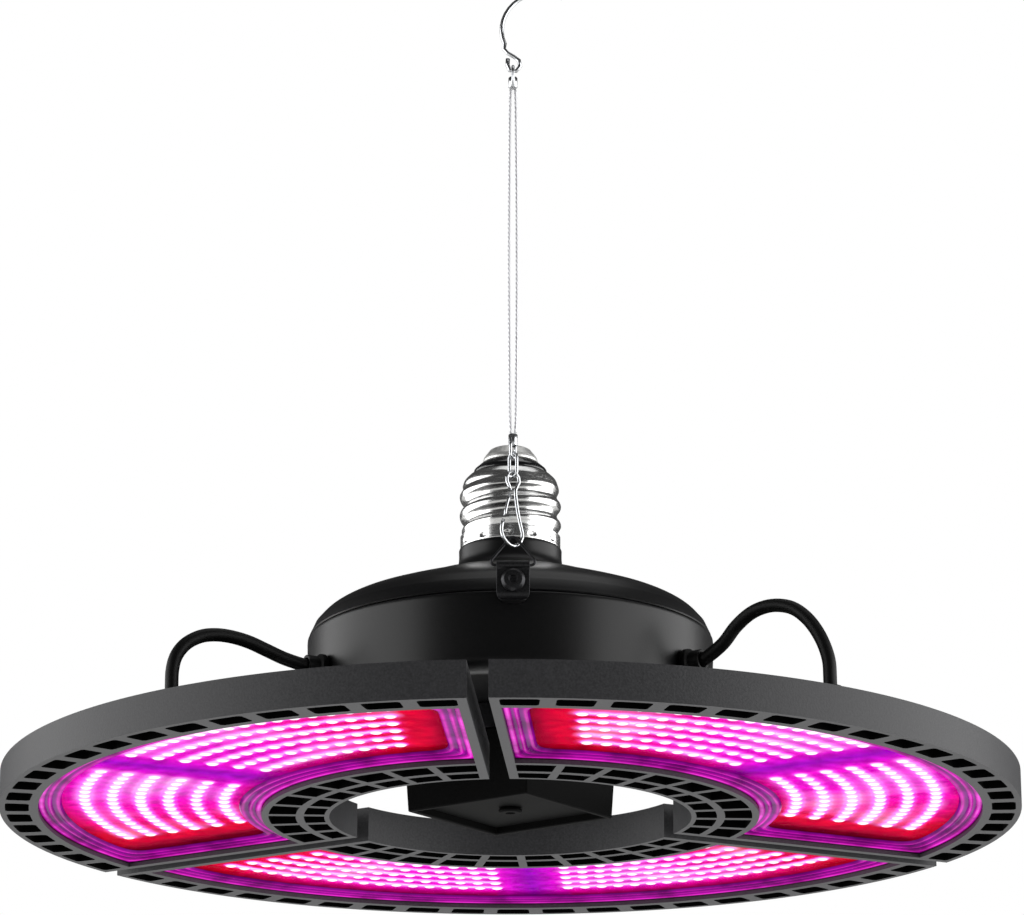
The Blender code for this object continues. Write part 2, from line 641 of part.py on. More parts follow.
def add_driver(finish):
    """Circuit board and its tall parts, standing on the housing's floor on a ring of posts."""
    base = Matrix.Translation((0, 0, lift(0)))
    floor = BASE_Z + HOUSING_WALL + GAP
    board_low = floor + BOARD_LIFT
    board_high = board_low + BOARD_SHEET
    board = rod("driver_board", BOARD_R, board_low, board_high, 40)
    obj = add_object("driver_board", board, finish["green_board"], None, base)
    post = rod("board_post", POST_R, floor, board_low + BOARD_SHEET / 2, 12)
    for k in range(3):
        place = base @ turn_z(30 + 120 * k) @ Matrix.Translation((POST_RING_R, 0, 0))
        unite(obj, add_object(f"board_post_{k + 1}", post, None, None, place))
    seat = board_high + GAP
    core = prism("transformer", [square(TRANSFORMER_HALF)], seat, seat + TRANSFORMER_HEIGHT)
    place = base @ Matrix.Translation((TRANSFORMER_X, 0, 0))
    add_object("transformer", core, finish["component"], None, place)
    top = seat + CAPACITOR_HEIGHT
    can = turned("bulk_capacitor", [(0, seat), (CAPACITOR_R, seat), (CAPACITOR_R, top - 1.0 * MM),
                                    (CAPACITOR_R - 0.8 * MM, top), (0, top)], 24)
    place = base @ Matrix.Translation((*CAPACITOR_AT, 0))
    add_object("bulk_capacitor", can, finish["component"], None, place)
    low, high = CHOKE_R
    top = seat + CHOKE_HEIGHT
    choke = turned("filter_choke", [(low, seat), (high, seat), (high, top), (low, top)], 24, closed=True)
    place = base @ Matrix.Translation((*CHOKE_AT, 0))
    add_object("filter_choke", choke, finish["component"], None, place)


def screw_shell_mesh():
    """The threaded shell: a wall whose radius follows a knuckle thread that fades in and out."""
    bottom = NECK_TOP + GAP
    thread_low = CAP_SKIRT_TOP
    thread_high = thread_low + THREAD_PITCH * THREAD_TURNS
    middle = (CAP_THREAD_R + CAP_ROOT_R) / 2
    swing = (CAP_THREAD_R - CAP_ROOT_R) / 2
    rows = round(7 * THREAD_TURNS)
    heights = [thread_low + (thread_high - thread_low) * k / rows for k in range(rows + 1)]
    rings = [[(CAP_SKIRT_R, bottom)] * CAP_STEPS, [(CAP_SKIRT_R, thread_low - 0.8 * MM)] * CAP_STEPS]
    for z in heights:
        fade = min(1.0, (z - thread_low) / (0.5 * THREAD_PITCH), (thread_high - z) / (0.5 * THREAD_PITCH))
        ring = []
        for i in range(CAP_STEPS):
            phase = (z - thread_low) / THREAD_PITCH - i / CAP_STEPS + THREAD_START
            wave = math.cos(2 * math.pi * phase)
            ring.append((middle + swing * (fade * wave - (1 - fade) * 0.4), z))
        rings.append(ring)
    bore = CAP_ROOT_R - CAP_WALL
    shell_top = thread_high + 3.2 * MM
    for out, down in ((0.85, 2.0), (0.55, 0.9), (0.2, 0.0), (0.0, 0.0)):
        rings.append([(CAP_LIP_R + out * (CAP_THREAD_R - CAP_LIP_R - MM), shell_top - down * MM)] * CAP_STEPS)
    rings.append([(bore, thread_high - 0.4 * MM)] * CAP_STEPS)
    rings.append([(bore, bottom)] * CAP_STEPS)
    bm = bmesh.new()
    loops = []
    for ring in rings:
        loop = []
        for i, (radius, z) in enumerate(ring):
            angle = 2 * math.pi * i / CAP_STEPS
            loop.append(bm.verts.new((radius * math.cos(angle), radius * math.sin(angle), z)))
        loops.append(loop)
    for low, high in zip(loops, loops[1:] + loops[:1]):
        for i in range(CAP_STEPS):
            j = (i + 1) % CAP_STEPS
            bm.faces.new((low[i], high[i], high[j], low[j]))
    return mesh_from(bm, "screw_shell"), shell_top


def add_cap(finish):
    base = Matrix.Translation((0, 0, lift(0)))
    shell, shell_top = screw_shell_mesh()
    add_object("screw_shell", shell, finish["nickel"], None, base)
    seat = CAP_LIP_R - GAP
    low = shell_top - 2.5 * MM
    top = INSULATOR_TOP - GAP
    profile = [(0, low), (seat, low), (seat, shell_top + GAP), (seat + 0.7 * MM, shell_top + GAP),
               (seat + 0.4 * MM, shell_top + 1.1 * MM), (CONTACT_R + 0.5 * MM, top - 0.4 * MM),
               (CONTACT_R, top), (0, top)]
    add_object("cap_insulator", turned("cap_insulator", profile, CAP_STEPS), finish["insulator"], None, base)
    profile = [(0, INSULATOR_TOP), (CONTACT_R, INSULATOR_TOP),
               (CONTACT_R - 0.2 * MM, INSULATOR_TOP + 1.1 * MM), (CONTACT_R - 1.8 * MM, TIP_Z - 0.5 * MM),
               (CONTACT_R - 2.5 * MM, TIP_Z), (0, TIP_Z)]
    add_object("centre_contact", turned("centre_contact", profile, CAP_STEPS), finish["nickel"], None, base)


# ---------------------------------------------------------------- leads

def add_leads(finish):
    sleeve_start = HOUSING_R + GAP
    bore = LEAD_R + GAP
    profile = [(bore, 0), (GROMMET_R, 0), (GROMMET_R, 1.4 * MM), (GROMMET_R - 0.7 * MM, 1.9 * MM),
               (bore + 0.8 * MM, GROMMET_LENGTH), (bore, GROMMET_LENGTH)]
    sleeve = turned("lead_grommet", profile, 16, closed=True)
    sleeve.transform(Matrix.Rotation(math.radians(90), 4, "Y"))
    for index in range(PANEL_COUNT):
        turn = turn_z(panel_azimuth(index))
        place = turn @ Matrix.Translation((sleeve_start, 0, lift(LEAD_EXIT_Z)))
        add_object(f"lead_grommet_{index + 1}", sleeve, finish["rubber"], None, place)
        start = [(HOUSING_R - 1.0 * MM, LEAD_EXIT_Z), (sleeve_start + 2 * MM, LEAD_EXIT_Z),
                 (sleeve_start + GROMMET_LENGTH, LEAD_EXIT_Z)]
        middle = [(radius * MM, z * MM) for radius, z in LEAD_ROUTES[index]]
        end = [(GLAND_R, GLAND_TOP + 2 * MM), (GLAND_R, GLAND_TOP - 2 * MM), (GLAND_R, GLAND_TOP - 6.0 * MM)]
        points = [(radius, 0, z) for radius, z in start + middle + end]
        base = Matrix.Translation((0, 0, lift(0))) @ turn
        wire(f"lead_{index + 1}", points, LEAD_R, finish["rubber"], None, base, spacing=LEAD_STEP)


# ---------------------------------------------------------------- hanging set

def tab_mesh():
    """A sheet strap whose top is rolled round the ring's base."""
    front = TAB_SHEET / 2
    roll = arc((0, ROLL_Z), ROLL_R, -65, 245, 16)
    outline = [(front, TAB_BOTTOM), *roll, (-front, TAB_BOTTOM)]
    bore = arc((0, ROLL_Z), ROLL_BORE, 0, 330, 11)
    bm = bmesh.new()
    fill_prism(bm, [outline, bore], -TAB_HALF, TAB_HALF)
    # The outline's plane becomes Y (outward) and Z, and the strap's width runs along X.
    swap = Matrix(((0, 0, 1, 0), (1, 0, 0, 0), (0, 1, 0, 0), (0, 0, 0, 1)))
    bmesh.ops.transform(bm, matrix=swap, verts=bm.verts)
    corners = [edge for edge in bm.edges if edge.calc_face_angle(0) > 1
               and all(abs(vert.co.z - TAB_BOTTOM) < MM / 100 for vert in edge.verts)
               and all(abs(abs(vert.co.x) - TAB_HALF) < MM / 100 for vert in edge.verts)]
    bmesh.ops.bevel(bm, geom=corners, offset=2.4 * MM, segments=4, profile=0.5, affect="EDGES")
    return mesh_from(bm, "hanger_tab")


def add_tab(finish, place):
    tab = add_object("hanger_tab", tab_mesh(), finish["black_steel"], None, place)
    hole = rod("tab_hole", TAB_SCREW_R + GAP, -4 * MM, 8 * MM)
    hole.transform(Matrix.Rotation(math.radians(-90), 4, "X"))
    at_screw = place @ Matrix.Translation((0, 0, TAB_SCREW_Z))
    cut(tab, add_object("tab_hole_cutter", hole, None, None, at_screw))
    front = TAB_SHEET / 2 + GAP
    back = -5.0 * MM
    profile = [(0, back), (TAB_SCREW_R, back), (TAB_SCREW_R, front), (TAB_HEAD_R, front),
               (TAB_HEAD_R, front + 0.7 * MM), (TAB_HEAD_R - 0.7 * MM, front + 1.5 * MM),
               (1.1 * MM, front + 1.6 * MM), (0.9 * MM, front + 0.9 * MM), (0, front + 0.9 * MM)]
    screw = turned("tab_screw", profile, 16)
    screw.transform(Matrix.Rotation(math.radians(-90), 4, "X"))
    add_object("tab_screw", screw, finish["black_steel"], None, at_screw)
    return at_screw


def add_ring(finish, place):
    """A triangular wire ring whose base turns in the tab's roll."""
    apex = RING_APEX_Z - ROLL_Z
    corner = 0.9 * MM
    ring = [(-RING_HALF + corner, 0), *arc((-RING_HALF + corner, corner), corner, 270, 140, 4)]
    ring += arc((0, apex - 1.1 * MM), 1.1 * MM, 140, 40, 4)
    ring += [*arc((RING_HALF - corner, corner), corner, 40, -90, 4), (0, 0)]
    axis = add_empty("ring_axis", place @ Matrix.Translation((0, 0, ROLL_Z)))
    points = [(x, 0, z) for x, z in ring]
    wire("hanger_ring", points, RING_WIRE, finish["black_steel"], axis, None, 2, cyclic=True)


def clip_outline():
    """The snap hook's centre line: up one side of the neck, round the eye, and down round the bottom."""
    return [(-0.75, CLIP_NECK_Z / MM + 0.2), (-1.15, CLIP_NECK_Z / MM + 1.4), (-1.9, CLIP_TOP_Z / MM - 2.4),
            (-1.35, CLIP_TOP_Z / MM - 0.6), (0.0, CLIP_TOP_Z / MM), (1.35, CLIP_TOP_Z / MM - 0.6),
            (1.9, CLIP_TOP_Z / MM - 2.4), (1.15, CLIP_NECK_Z / MM + 1.4), (0.75, CLIP_NECK_Z / MM),
            (1.3, 67.0), (2.1, 63.5), (2.9, 60.4), (2.2, 58.4), (0.6, CLIP_BOTTOM_Z / MM + 0.05),
            (-0.6, CLIP_BOTTOM_Z / MM + 0.05), (-2.3, 58.3), (-3.4, 60.2), (-3.3, 62.3), (-2.9, 63.6)]


def add_clip(finish, place):
    turn = place @ turn_z(CLIP_TURN)
    axis_place = place @ Matrix.Translation((0, 0, RING_APEX_Z))
    axis = add_empty("snap_hook_axis", axis_place)
    hold = axis_place.inverted() @ turn
    points = [(x * MM, 0, z * MM) for x, z in clip_outline()]
    wire("snap_hook", points, CLIP_WIRE, finish["steel"], axis, hold, 2, spacing=1.25 * MM)
    pivot = Vector((-0.95 * MM, 0, CLIP_NECK_Z - 0.75 * MM))
    tip = Vector((-2.45 * MM, 0, 64.6 * MM))
    gate_axis = add_empty("snap_gate_axis", hold @ Matrix.Translation(pivot), axis)
    drop = tip - pivot
    bow = Vector((-0.12 * MM, 0, 0))
    points = [Vector((0, 0, 0)), drop * 0.35 + bow, drop * 0.7 + bow, drop]
    wire("snap_gate", points, 0.36 * MM, finish["steel"], gate_axis, None, 2, spacing=1.5 * MM)


def oval(half_width, z_low, z_high, steps):
    """A long link's centre line in the XZ plane."""
    upper = arc((0, z_high - half_width), half_width, 0, 180, steps)
    lower = arc((0, z_low + half_width), half_width, 180, 360, steps)
    return upper + lower


def sleeve_mesh(name, low, high):
    """A crimped sleeve with small chamfers at its ends."""
    edge = 0.25 * MM
    return turned(name, [(0, low), (CRIMP_R - edge, low), (CRIMP_R, low + edge), (CRIMP_R, high - edge),
                         (CRIMP_R - edge, high), (0, high)], 14)


def add_wire_set(finish, place):
    """Link, crimped eye, two strands and the top ferrule, which all hang on the snap hook."""
    across = place @ turn_z(CLIP_TURN - 70)
    points = [(x, 0, z) for x, z in oval(1.15 * MM, LINK_BOTTOM_Z, LINK_TOP_Z, 5)]
    wire("oval_link", points, LINK_WIRE, finish["steel"], None, across, 2, cyclic=True)
    eye_low = LINK_TOP_Z - 1.25 * MM
    sleeve = sleeve_mesh("lower_crimp", CRIMP_BOTTOM, CRIMP_TOP)
    crimp = add_object("lower_crimp", sleeve, finish["steel"], None, place)
    loop = oval(1.1 * MM, eye_low, CRIMP_BOTTOM + 1.4 * MM, 5)
    add_eye(crimp, "crimp_eye", loop, 0.38 * MM, across @ turn_z(90))
    for side, name in ((-1, "1"), (1, "2")):
        x = side * STRAND_SPLIT
        low, high = CRIMP_TOP + GAP, FERRULE_BOTTOM - GAP
        middle = (low + high) / 2
        bow = side * (STRAND_SPLIT + 0.45 * MM)
        between = (x + bow) / 2
        points = [(x, 0, low), (between, 0, low + 8 * MM), (bow, 0, middle), (between, 0, high - 8 * MM),
                  (x, 0, high)]
        wire("tether_strand_" + name, points, STRAND_R, finish["steel"], None, place, 2, spacing=2.1 * MM)
    sleeve = sleeve_mesh("upper_ferrule", FERRULE_BOTTOM, FERRULE_TOP)
    ferrule = add_object("upper_ferrule", sleeve, finish["steel"], None, place)
    loop = oval(1.75 * MM, FERRULE_TOP - 1.6 * MM, FERRULE_EYE_Z, 5)
    add_eye(ferrule, "ferrule_eye", loop, 0.4 * MM, place @ turn_z(90))


def add_eye(target, name, outline, radius, place):
    """Joins a round-wire loop to a crimp. The loop is a mesh, because a Boolean takes no curve."""
    curve = wire(name + "_curve", [(x, 0, z) for x, z in outline], radius, None, None, place, 2, cyclic=True)
    graph = bpy.context.evaluated_depsgraph_get()
    mesh = bpy.data.meshes.new_from_object(curve.evaluated_get(graph))
    bpy.data.objects.remove(curve, do_unlink=True)
    bm = bmesh.new()
    bm.from_mesh(mesh)
    bmesh.ops.remove_doubles(bm, verts=bm.verts, dist=1e-6)
    bmesh.ops.recalc_face_normals(bm, faces=bm.faces)
    bm.to_mesh(mesh)
    bm.free()
    unite(target, add_object(name, mesh, None, None, place))


def add_top_hook(finish, place):
    """An open hook that rises from a small eye in the ferrule's eye and arches over to the right."""
    eye_z = FERRULE_EYE_Z
    pivot = place @ Matrix.Translation((0, 0, eye_z))
    axis = add_empty("top_hook_axis", pivot)
    arc_z = TOP_HOOK_ARC_Z - eye_z
    arc_x = TOP_HOOK_ARC_R - 2.9 * MM
    low = 0.95 * MM + 0.4 * MM
    points = [(-1.3 * MM, 2.2 * MM), (-1.4 * MM, 0.8 * MM), (-1.1 * MM, -0.7 * MM), (0.2 * MM, -low),
              (1.4 * MM, -0.7 * MM), (1.9 * MM, 0.7 * MM), (1.2 * MM, 2.2 * MM), (-0.6 * MM, 3.3 * MM),
              (-2.3 * MM, 4.6 * MM)]
    points += arc((arc_x, arc_z), TOP_HOOK_ARC_R, 205, TOP_HOOK_END, 10)
    points = [(x, 0, z) for x, z in points]
    wire("top_hook", points, TOP_HOOK_WIRE, finish["steel"], axis, None, 2, spacing=1.7 * MM)


def add_tether(finish, housing):
    place = Matrix.Translation((0, 0, lift(0))) @ turn_z(TETHER_AZIMUTH + 90)
    place = place @ Matrix.Translation((0, -TAB_R, 0))
    # In this frame -Y is outward from the lamp's axis, as the tab faces the same way as the near slit.
    face = place @ Matrix.Rotation(math.pi, 4, "Z")
    at_screw = add_tab(finish, face)
    bore = rod("tab_bore", TAB_SCREW_R + GAP, -9 * MM, 0)
    bore.transform(Matrix.Rotation(math.radians(-90), 4, "X"))
    cut(housing, add_object("tab_bore_cutter", bore, None, None, at_screw))
    add_ring(finish, place)
    add_clip(finish, place)
    add_wire_set(finish, place)
    add_top_hook(finish, place)


def main():
    clear_scene()
    finish = finishes()
    shared = panel_meshes()
    for index in range(PANEL_COUNT):
        add_panel(index, shared, finish)
    add_spider(finish, shared["bore"])
    add_hub(finish)
    housing = add_housing(finish)
    add_driver(finish)
    add_cap(finish)
    add_leads(finish)
    add_tether(finish, housing)


main()
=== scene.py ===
"""Looks of the screw-in LED grow light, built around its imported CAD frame."""

import math

import bmesh
import bpy
import numpy as np
from mathutils import Matrix, Vector


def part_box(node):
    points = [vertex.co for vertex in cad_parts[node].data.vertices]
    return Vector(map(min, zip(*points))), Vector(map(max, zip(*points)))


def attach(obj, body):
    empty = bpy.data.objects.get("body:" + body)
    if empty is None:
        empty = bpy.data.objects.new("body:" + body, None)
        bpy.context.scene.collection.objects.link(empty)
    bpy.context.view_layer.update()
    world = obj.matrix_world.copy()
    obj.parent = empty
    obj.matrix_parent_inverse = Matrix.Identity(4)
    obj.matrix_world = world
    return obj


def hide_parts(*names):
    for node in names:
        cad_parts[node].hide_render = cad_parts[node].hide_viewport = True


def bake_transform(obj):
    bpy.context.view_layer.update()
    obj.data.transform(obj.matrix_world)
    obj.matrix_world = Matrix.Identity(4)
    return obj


MM = 0.001
PANELS = (1, 2, 3)
FIRST_AZIMUTH = -30.0

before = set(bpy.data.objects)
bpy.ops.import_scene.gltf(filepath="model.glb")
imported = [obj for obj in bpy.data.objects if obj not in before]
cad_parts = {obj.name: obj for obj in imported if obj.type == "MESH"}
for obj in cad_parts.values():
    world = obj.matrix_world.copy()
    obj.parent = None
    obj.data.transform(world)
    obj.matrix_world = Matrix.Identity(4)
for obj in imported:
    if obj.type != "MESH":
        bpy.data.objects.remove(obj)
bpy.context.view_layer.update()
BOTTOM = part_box("panel_frame_1")[0].z  # the panels' underside
STANDING = Matrix.Translation((0, 0, BOTTOM))


def lift(z):
    return BOTTOM + z


def panel_place(number):
    """Puts a mesh drawn about +X, with its heights from the panels' underside, where that panel lies."""
    azimuth = FIRST_AZIMUTH + 360.0 / len(PANELS) * (number - 1)
    return STANDING @ Matrix.Rotation(math.radians(azimuth), 4, "Z")


# ---------------------------------------------------------------- colour and nodes

def srgb(text):
    values = [int(text[i:i + 2], 16) / 255 for i in (1, 3, 5)]
    linear = [v / 12.92 if v <= 0.04045 else ((v + 0.055) / 1.055) ** 2.4 for v in values]
    return (*linear, 1.0)


def add_node(tree, kind, settings=None, **links):
    """Adds a node, sets its properties and inputs, and links the inputs given as sockets."""
    node = tree.nodes.new(kind)
    for key, value in (settings or {}).items():
        if isinstance(key, str) and hasattr(node, key) and key not in node.inputs:
            setattr(node, key, value)
        else:
            node.inputs[key].default_value = value
    for name, socket in links.items():
        tree.links.new(socket, node.inputs[name.replace("_", " ")])
    return node


def new_finish(name, colour, roughness, metallic=0.0, **extra):
    """A material with its Principled shader's uniform values set on the shader's own sockets."""
    made = bpy.data.materials.new(name)
    made.use_nodes = True
    shader = made.node_tree.nodes["Principled BSDF"]
    shader.inputs["Base Color"].default_value = srgb(colour)
    shader.inputs["Roughness"].default_value = roughness
    shader.inputs["Metallic"].default_value = metallic
    for key, value in extra.items():
        shader.inputs[key.replace("_", " ")].default_value = value
    return made, made.node_tree, shader


def ramp_of(tree, factor, stops):
    """A colour ramp over (position, colour) stops."""
    ramp = add_node(tree, "ShaderNodeValToRGB", {}, Fac=factor)
    elements = ramp.color_ramp.elements
    elements[0].position, elements[0].color = stops[0][0], srgb(stops[0][1])
    elements[1].position, elements[1].color = stops[-1][0], srgb(stops[-1][1])
    for position, colour in stops[1:-1]:
        elements.new(position).color = srgb(colour)
    return ramp.outputs["Color"]


def mix_colours(tree, factor, first, second, mode):
    mix = add_node(tree, "ShaderNodeMixRGB", {"blend_type": mode, 0: factor})
    tree.links.new(first, mix.inputs[1])
    tree.links.new(second, mix.inputs[2])
    return mix.outputs[0]


def add_lumps(tree, size_mm, stretch=(1, 1, 1), detail=3.0):
    """Noise fixed to the piece, whose lumps are size_mm across."""
    where = add_node(tree, "ShaderNodeTexCoord")
    scale = tuple(axis / (size_mm * MM) for axis in stretch)
    mapping = add_node(tree, "ShaderNodeMapping", {"Scale": scale}, Vector=where.outputs["Object"])
    return add_node(tree, "ShaderNodeTexNoise", {"Scale": 1.0, "Detail": detail},
                    Vector=mapping.outputs[0])


def add_grain(tree, shader, size_mm, height_mm, stretch=(1, 1, 1)):
    """Bump from lumps that are size_mm across and height_mm tall."""
    noise = add_lumps(tree, size_mm, stretch)
    bump = add_node(tree, "ShaderNodeBump", {"Strength": 1.0, "Distance": height_mm * MM},
                    Height=noise.outputs["Fac"])
    tree.links.new(bump.outputs["Normal"], shader.inputs["Normal"])
    return noise


def vary_roughness(tree, shader, noise, low, high):
    spread = add_node(tree, "ShaderNodeMapRange", {"To Min": low, "To Max": high},
                      Value=noise.outputs["Fac"])
    tree.links.new(spread.outputs[0], shader.inputs["Roughness"])


def mottle(tree, shader, noise, dark, light):
    """Colour that drifts a little between two close shades along the pattern given: random tone on
    moulded and plated surfaces, and painted shade in the grooves of the laid wire.
    """
    shade = ramp_of(tree, noise.outputs["Fac"], ((0.3, dark), (0.7, light)))
    tree.links.new(shade, shader.inputs["Base Color"])


def light_up(tree, shader, colour, strength):
    tree.links.new(colour, shader.inputs["Emission Color"])
    shader.inputs["Emission Strength"].default_value = strength


# ---------------------------------------------------------------- finishes

def moulded_abs():
    """Black ABS from a fine spark-eroded mould: deep black with a soft wide sheen."""
    made, tree, shader = new_finish("moulded_abs_black", "#08080a", 0.34, 0.0, Specular_IOR_Level=0.3)
    noise = add_grain(tree, shader, 0.45, 0.012)
    vary_roughness(tree, shader, noise, 0.30, 0.42)
    mottle(tree, shader, noise, "#060607", "#0b0b0c")
    return made


def matt_abs():
    """The hub's duller black ABS, which shows little but its edges."""
    made, tree, shader = new_finish("matt_abs_black", "#080808", 0.5, 0.0, Specular_IOR_Level=0.02)
    noise = add_grain(tree, shader, 0.4, 0.015)
    vary_roughness(tree, shader, noise, 0.42, 0.6)
    mottle(tree, shader, noise, "#070707", "#0c0c0c")
    return made


def brushed_pc():
    """Dark grey filled polycarbonate with the fine even grain of its textured mould."""
    made, tree, shader = new_finish("grained_polycarbonate_grey", "#3c3c3e", 0.46, 0.0,
                                    Specular_IOR_Level=0.35)
    noise = add_grain(tree, shader, 0.55, 0.05)
    vary_roughness(tree, shader, noise, 0.40, 0.58)
    mottle(tree, shader, noise, "#262628", "#343436")
    return made


def painted_vent_shade():
    """Painted shade for the depth of the vents: the same polycarbonate, painted near-black and dulled to
    stand in for the shadow down inside them.
    """
    made, tree, shader = new_finish("vent_wall_painted_shade", "#030303", 0.9, 0.0, IOR=1.1)
    noise = add_grain(tree, shader, 0.6, 0.02)
    vary_roughness(tree, shader, noise, 0.7, 0.9)
    return made


def nickel_plate():
    """Nickel plate on a rolled brass shell: bright, with drawing marks that run round it."""
    made, tree, shader = new_finish("nickel_plate", "#dededd", 0.22, 1.0)
    noise = add_grain(tree, shader, 0.5, 0.012, stretch=(0.3, 0.3, 1.6))
    vary_roughness(tree, shader, noise, 0.14, 0.3)
    mottle(tree, shader, noise, "#cfcfcf", "#ececeb")
    return made


def tinned_contact():
    """Solder-tinned centre contact, paler and duller than the shell."""
    made, tree, shader = new_finish("tinned_contact", "#d4d4d2", 0.42, 0.85)
    noise = add_grain(tree, shader, 0.8, 0.03)
    vary_roughness(tree, shader, noise, 0.34, 0.55)
    mottle(tree, shader, noise, "#c4c4c2", "#e6e6e4")
    return made


def zinc_wire():
    """Bright zinc-plated steel wire, drawn along its length."""
    made, tree, shader = new_finish("zinc_plated_wire", "#d9dadc", 0.2, 1.0)
    noise = add_grain(tree, shader, 0.18, 0.006)
    vary_roughness(tree, shader, noise, 0.14, 0.3)
    mottle(tree, shader, noise, "#b4b6ba", "#dcdee0")
    return made


def laid_steel():
    """Fine laid steel wire: pale, since its many strands scatter the light, with painted shade darkening
    the grooves between its wires.
    """
    made, tree, shader = new_finish("laid_steel_wire", "#e4e4e6", 0.5, 0.7)
    where = add_node(tree, "ShaderNodeTexCoord")
    scale = add_node(tree, "ShaderNodeMapping", {"Scale": (2400.0, 2400.0, 1300.0)},
                     Vector=where.outputs["Object"])
    twist = add_node(tree, "ShaderNodeTexWave",
                     {"Scale": 0.4, "wave_type": "BANDS", "bands_direction": "DIAGONAL"},
                     Vector=scale.outputs[0])
    bump = add_node(tree, "ShaderNodeBump", {"Strength": 0.5, "Distance": 0.05 * MM},
                    Height=twist.outputs["Fac"])
    tree.links.new(bump.outputs["Normal"], shader.inputs["Normal"])
    # Painted shade: the colour follows the twist bands, darker in the grooves between the wires and
    # lighter on their crests.
    mottle(tree, shader, twist, "#c8c8cc", "#f2f2f4")
    return made


def blackened_steel():
    """Steel with a black oxide coat that shines through on its edges."""
    made, tree, shader = new_finish("black_oxide_steel", "#343436", 0.34, 0.85)
    noise = add_grain(tree, shader, 0.3, 0.008)
    vary_roughness(tree, shader, noise, 0.3, 0.46)
    mottle(tree, shader, noise, "#29292b", "#404042")
    return made


def black_anodised():
    """Black anodised aluminium with an extruded grain."""
    made, tree, shader = new_finish("black_anodised_aluminium", "#1b1b1d", 0.42, 0.6)
    noise = add_grain(tree, shader, 0.4, 0.01, stretch=(0.2, 1, 1))
    vary_roughness(tree, shader, noise, 0.34, 0.52)
    mottle(tree, shader, noise, "#171719", "#222225")
    return made


def lead_rubber():
    """Black PVC sheath with a dull skin."""
    made, tree, shader = new_finish("pvc_sheath_black", "#050505", 0.5, 0.0, Specular_IOR_Level=0.2)
    noise = add_grain(tree, shader, 0.3, 0.015)
    vary_roughness(tree, shader, noise, 0.42, 0.58)
    mottle(tree, shader, noise, "#040404", "#080808")
    return made


def vitrite():
    """Black glass of the cap's insulator."""
    made, tree, shader = new_finish("black_vitrite", "#08080a", 0.12, 0.0, IOR=1.6, Coat_Weight=0.4)
    noise = add_grain(tree, shader, 1.2, 0.03)
    vary_roughness(tree, shader, noise, 0.08, 0.2)
    return made


def solder_mask():
    """Green solder mask over copper on the driver's board."""
    made, tree, shader = new_finish("green_solder_mask", "#1f6a38", 0.35, 0.0, IOR=1.5)
    noise = add_grain(tree, shader, 1.4, 0.02)
    mottle(tree, shader, noise, "#185a2e", "#2a7c44")
    return made


def yellow_tape():
    """Yellow polyester tape round the driver's wound parts."""
    made, tree, shader = new_finish("yellow_polyester_tape", "#b99a3a", 0.4, 0.0, IOR=1.55)
    noise = add_grain(tree, shader, 2.0, 0.04, stretch=(0.2, 0.2, 1))
    mottle(tree, shader, noise, "#a88a30", "#c8aa48")
    return made


# ---------------------------------------------------------------- mesh helpers

def mesh_of(name, bm):
    mesh = bpy.data.meshes.new(name)
    bm.to_mesh(mesh)
    bm.free()
    return mesh


def add_mesh(name, bm, finish, smooth, place=None):
    bmesh.ops.recalc_face_normals(bm, faces=bm.faces)
    return add_piece(name, mesh_of(name, bm), finish, smooth, place)


def add_piece(name, mesh, finish, smooth, place):
    """Edges sharper than smooth, in degrees, stay crisp."""
    if smooth:
        mesh.shade_smooth()
        mesh.set_sharp_from_angle(angle=math.radians(smooth))
    piece = bpy.data.objects.new(name, mesh)
    bpy.context.scene.collection.objects.link(piece)
    mesh.materials.append(finish)
    if place is not None:
        mesh.transform(place)
    return piece


def stand_for(piece, body, *nodes):
    """The piece moves with a body and is shown in place of the CAD nodes."""
    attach(piece, body)
    if nodes:
        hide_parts(*nodes)
    return piece


def round_edges(piece, width_mm, segments, angle):
    modifier = piece.modifiers.new("edge", "BEVEL")
    modifier.width = width_mm * MM
    modifier.segments = segments
    modifier.limit_method = "ANGLE"
    modifier.angle_limit = math.radians(angle)
    modifier.use_clamp_overlap = True
    return piece


def arc(centre, radius, start, end, steps):
    points = []
    for i in range(steps + 1):
        angle = math.radians(start + (end - start) * i / steps)
        points.append((centre[0] + radius * math.cos(angle), centre[1] + radius * math.sin(angle)))
    return points


def rounded_profile(points, steps):
    """Points (r, z[, corner radius]) with each corner that has a radius turned into an arc."""
    out = []
    for i, point in enumerate(points):
        radius = point[2] if len(point) > 2 else 0.0
        here = Vector(point[:2])
        if radius == 0 or i in (0, len(points) - 1):
            out.append(here)
            continue
        before, after = Vector(points[i - 1][:2]) - here, Vector(points[i + 1][:2]) - here
        half = before.angle(after) / 2
        reach = min(radius / math.tan(half), before.length * 0.49, after.length * 0.49)
        start, end = here + before.normalized() * reach, here + after.normalized() * reach
        for k in range(steps + 1):
            t = k / steps
            out.append(start.lerp(here, t).lerp(here.lerp(end, t), t))
    return [(p.x, p.y) for p in out]


def skin(bm, loops, closed=False, ends=False):
    """Quads between each loop of points and the next, and a face over each end."""
    for low, high in zip(loops, loops[1:] + (loops[:1] if closed else [])):
        for k in range(len(low)):
            j = (k + 1) % len(low)
            bm.faces.new((low[k], low[j], high[j], high[k]))
    if ends:
        bm.faces.new(loops[0][::-1])
        bm.faces.new(loops[-1])


def ring_points(bm, radius_at, z, steps):
    """Points round Z, at the radius that radius_at gives for each share of the turn."""
    points = []
    for i in range(steps):
        angle = 2 * math.pi * i / steps
        points.append(bm.verts.new((radius_at(i / steps) * math.cos(angle),
                                    radius_at(i / steps) * math.sin(angle), z)))
    return points


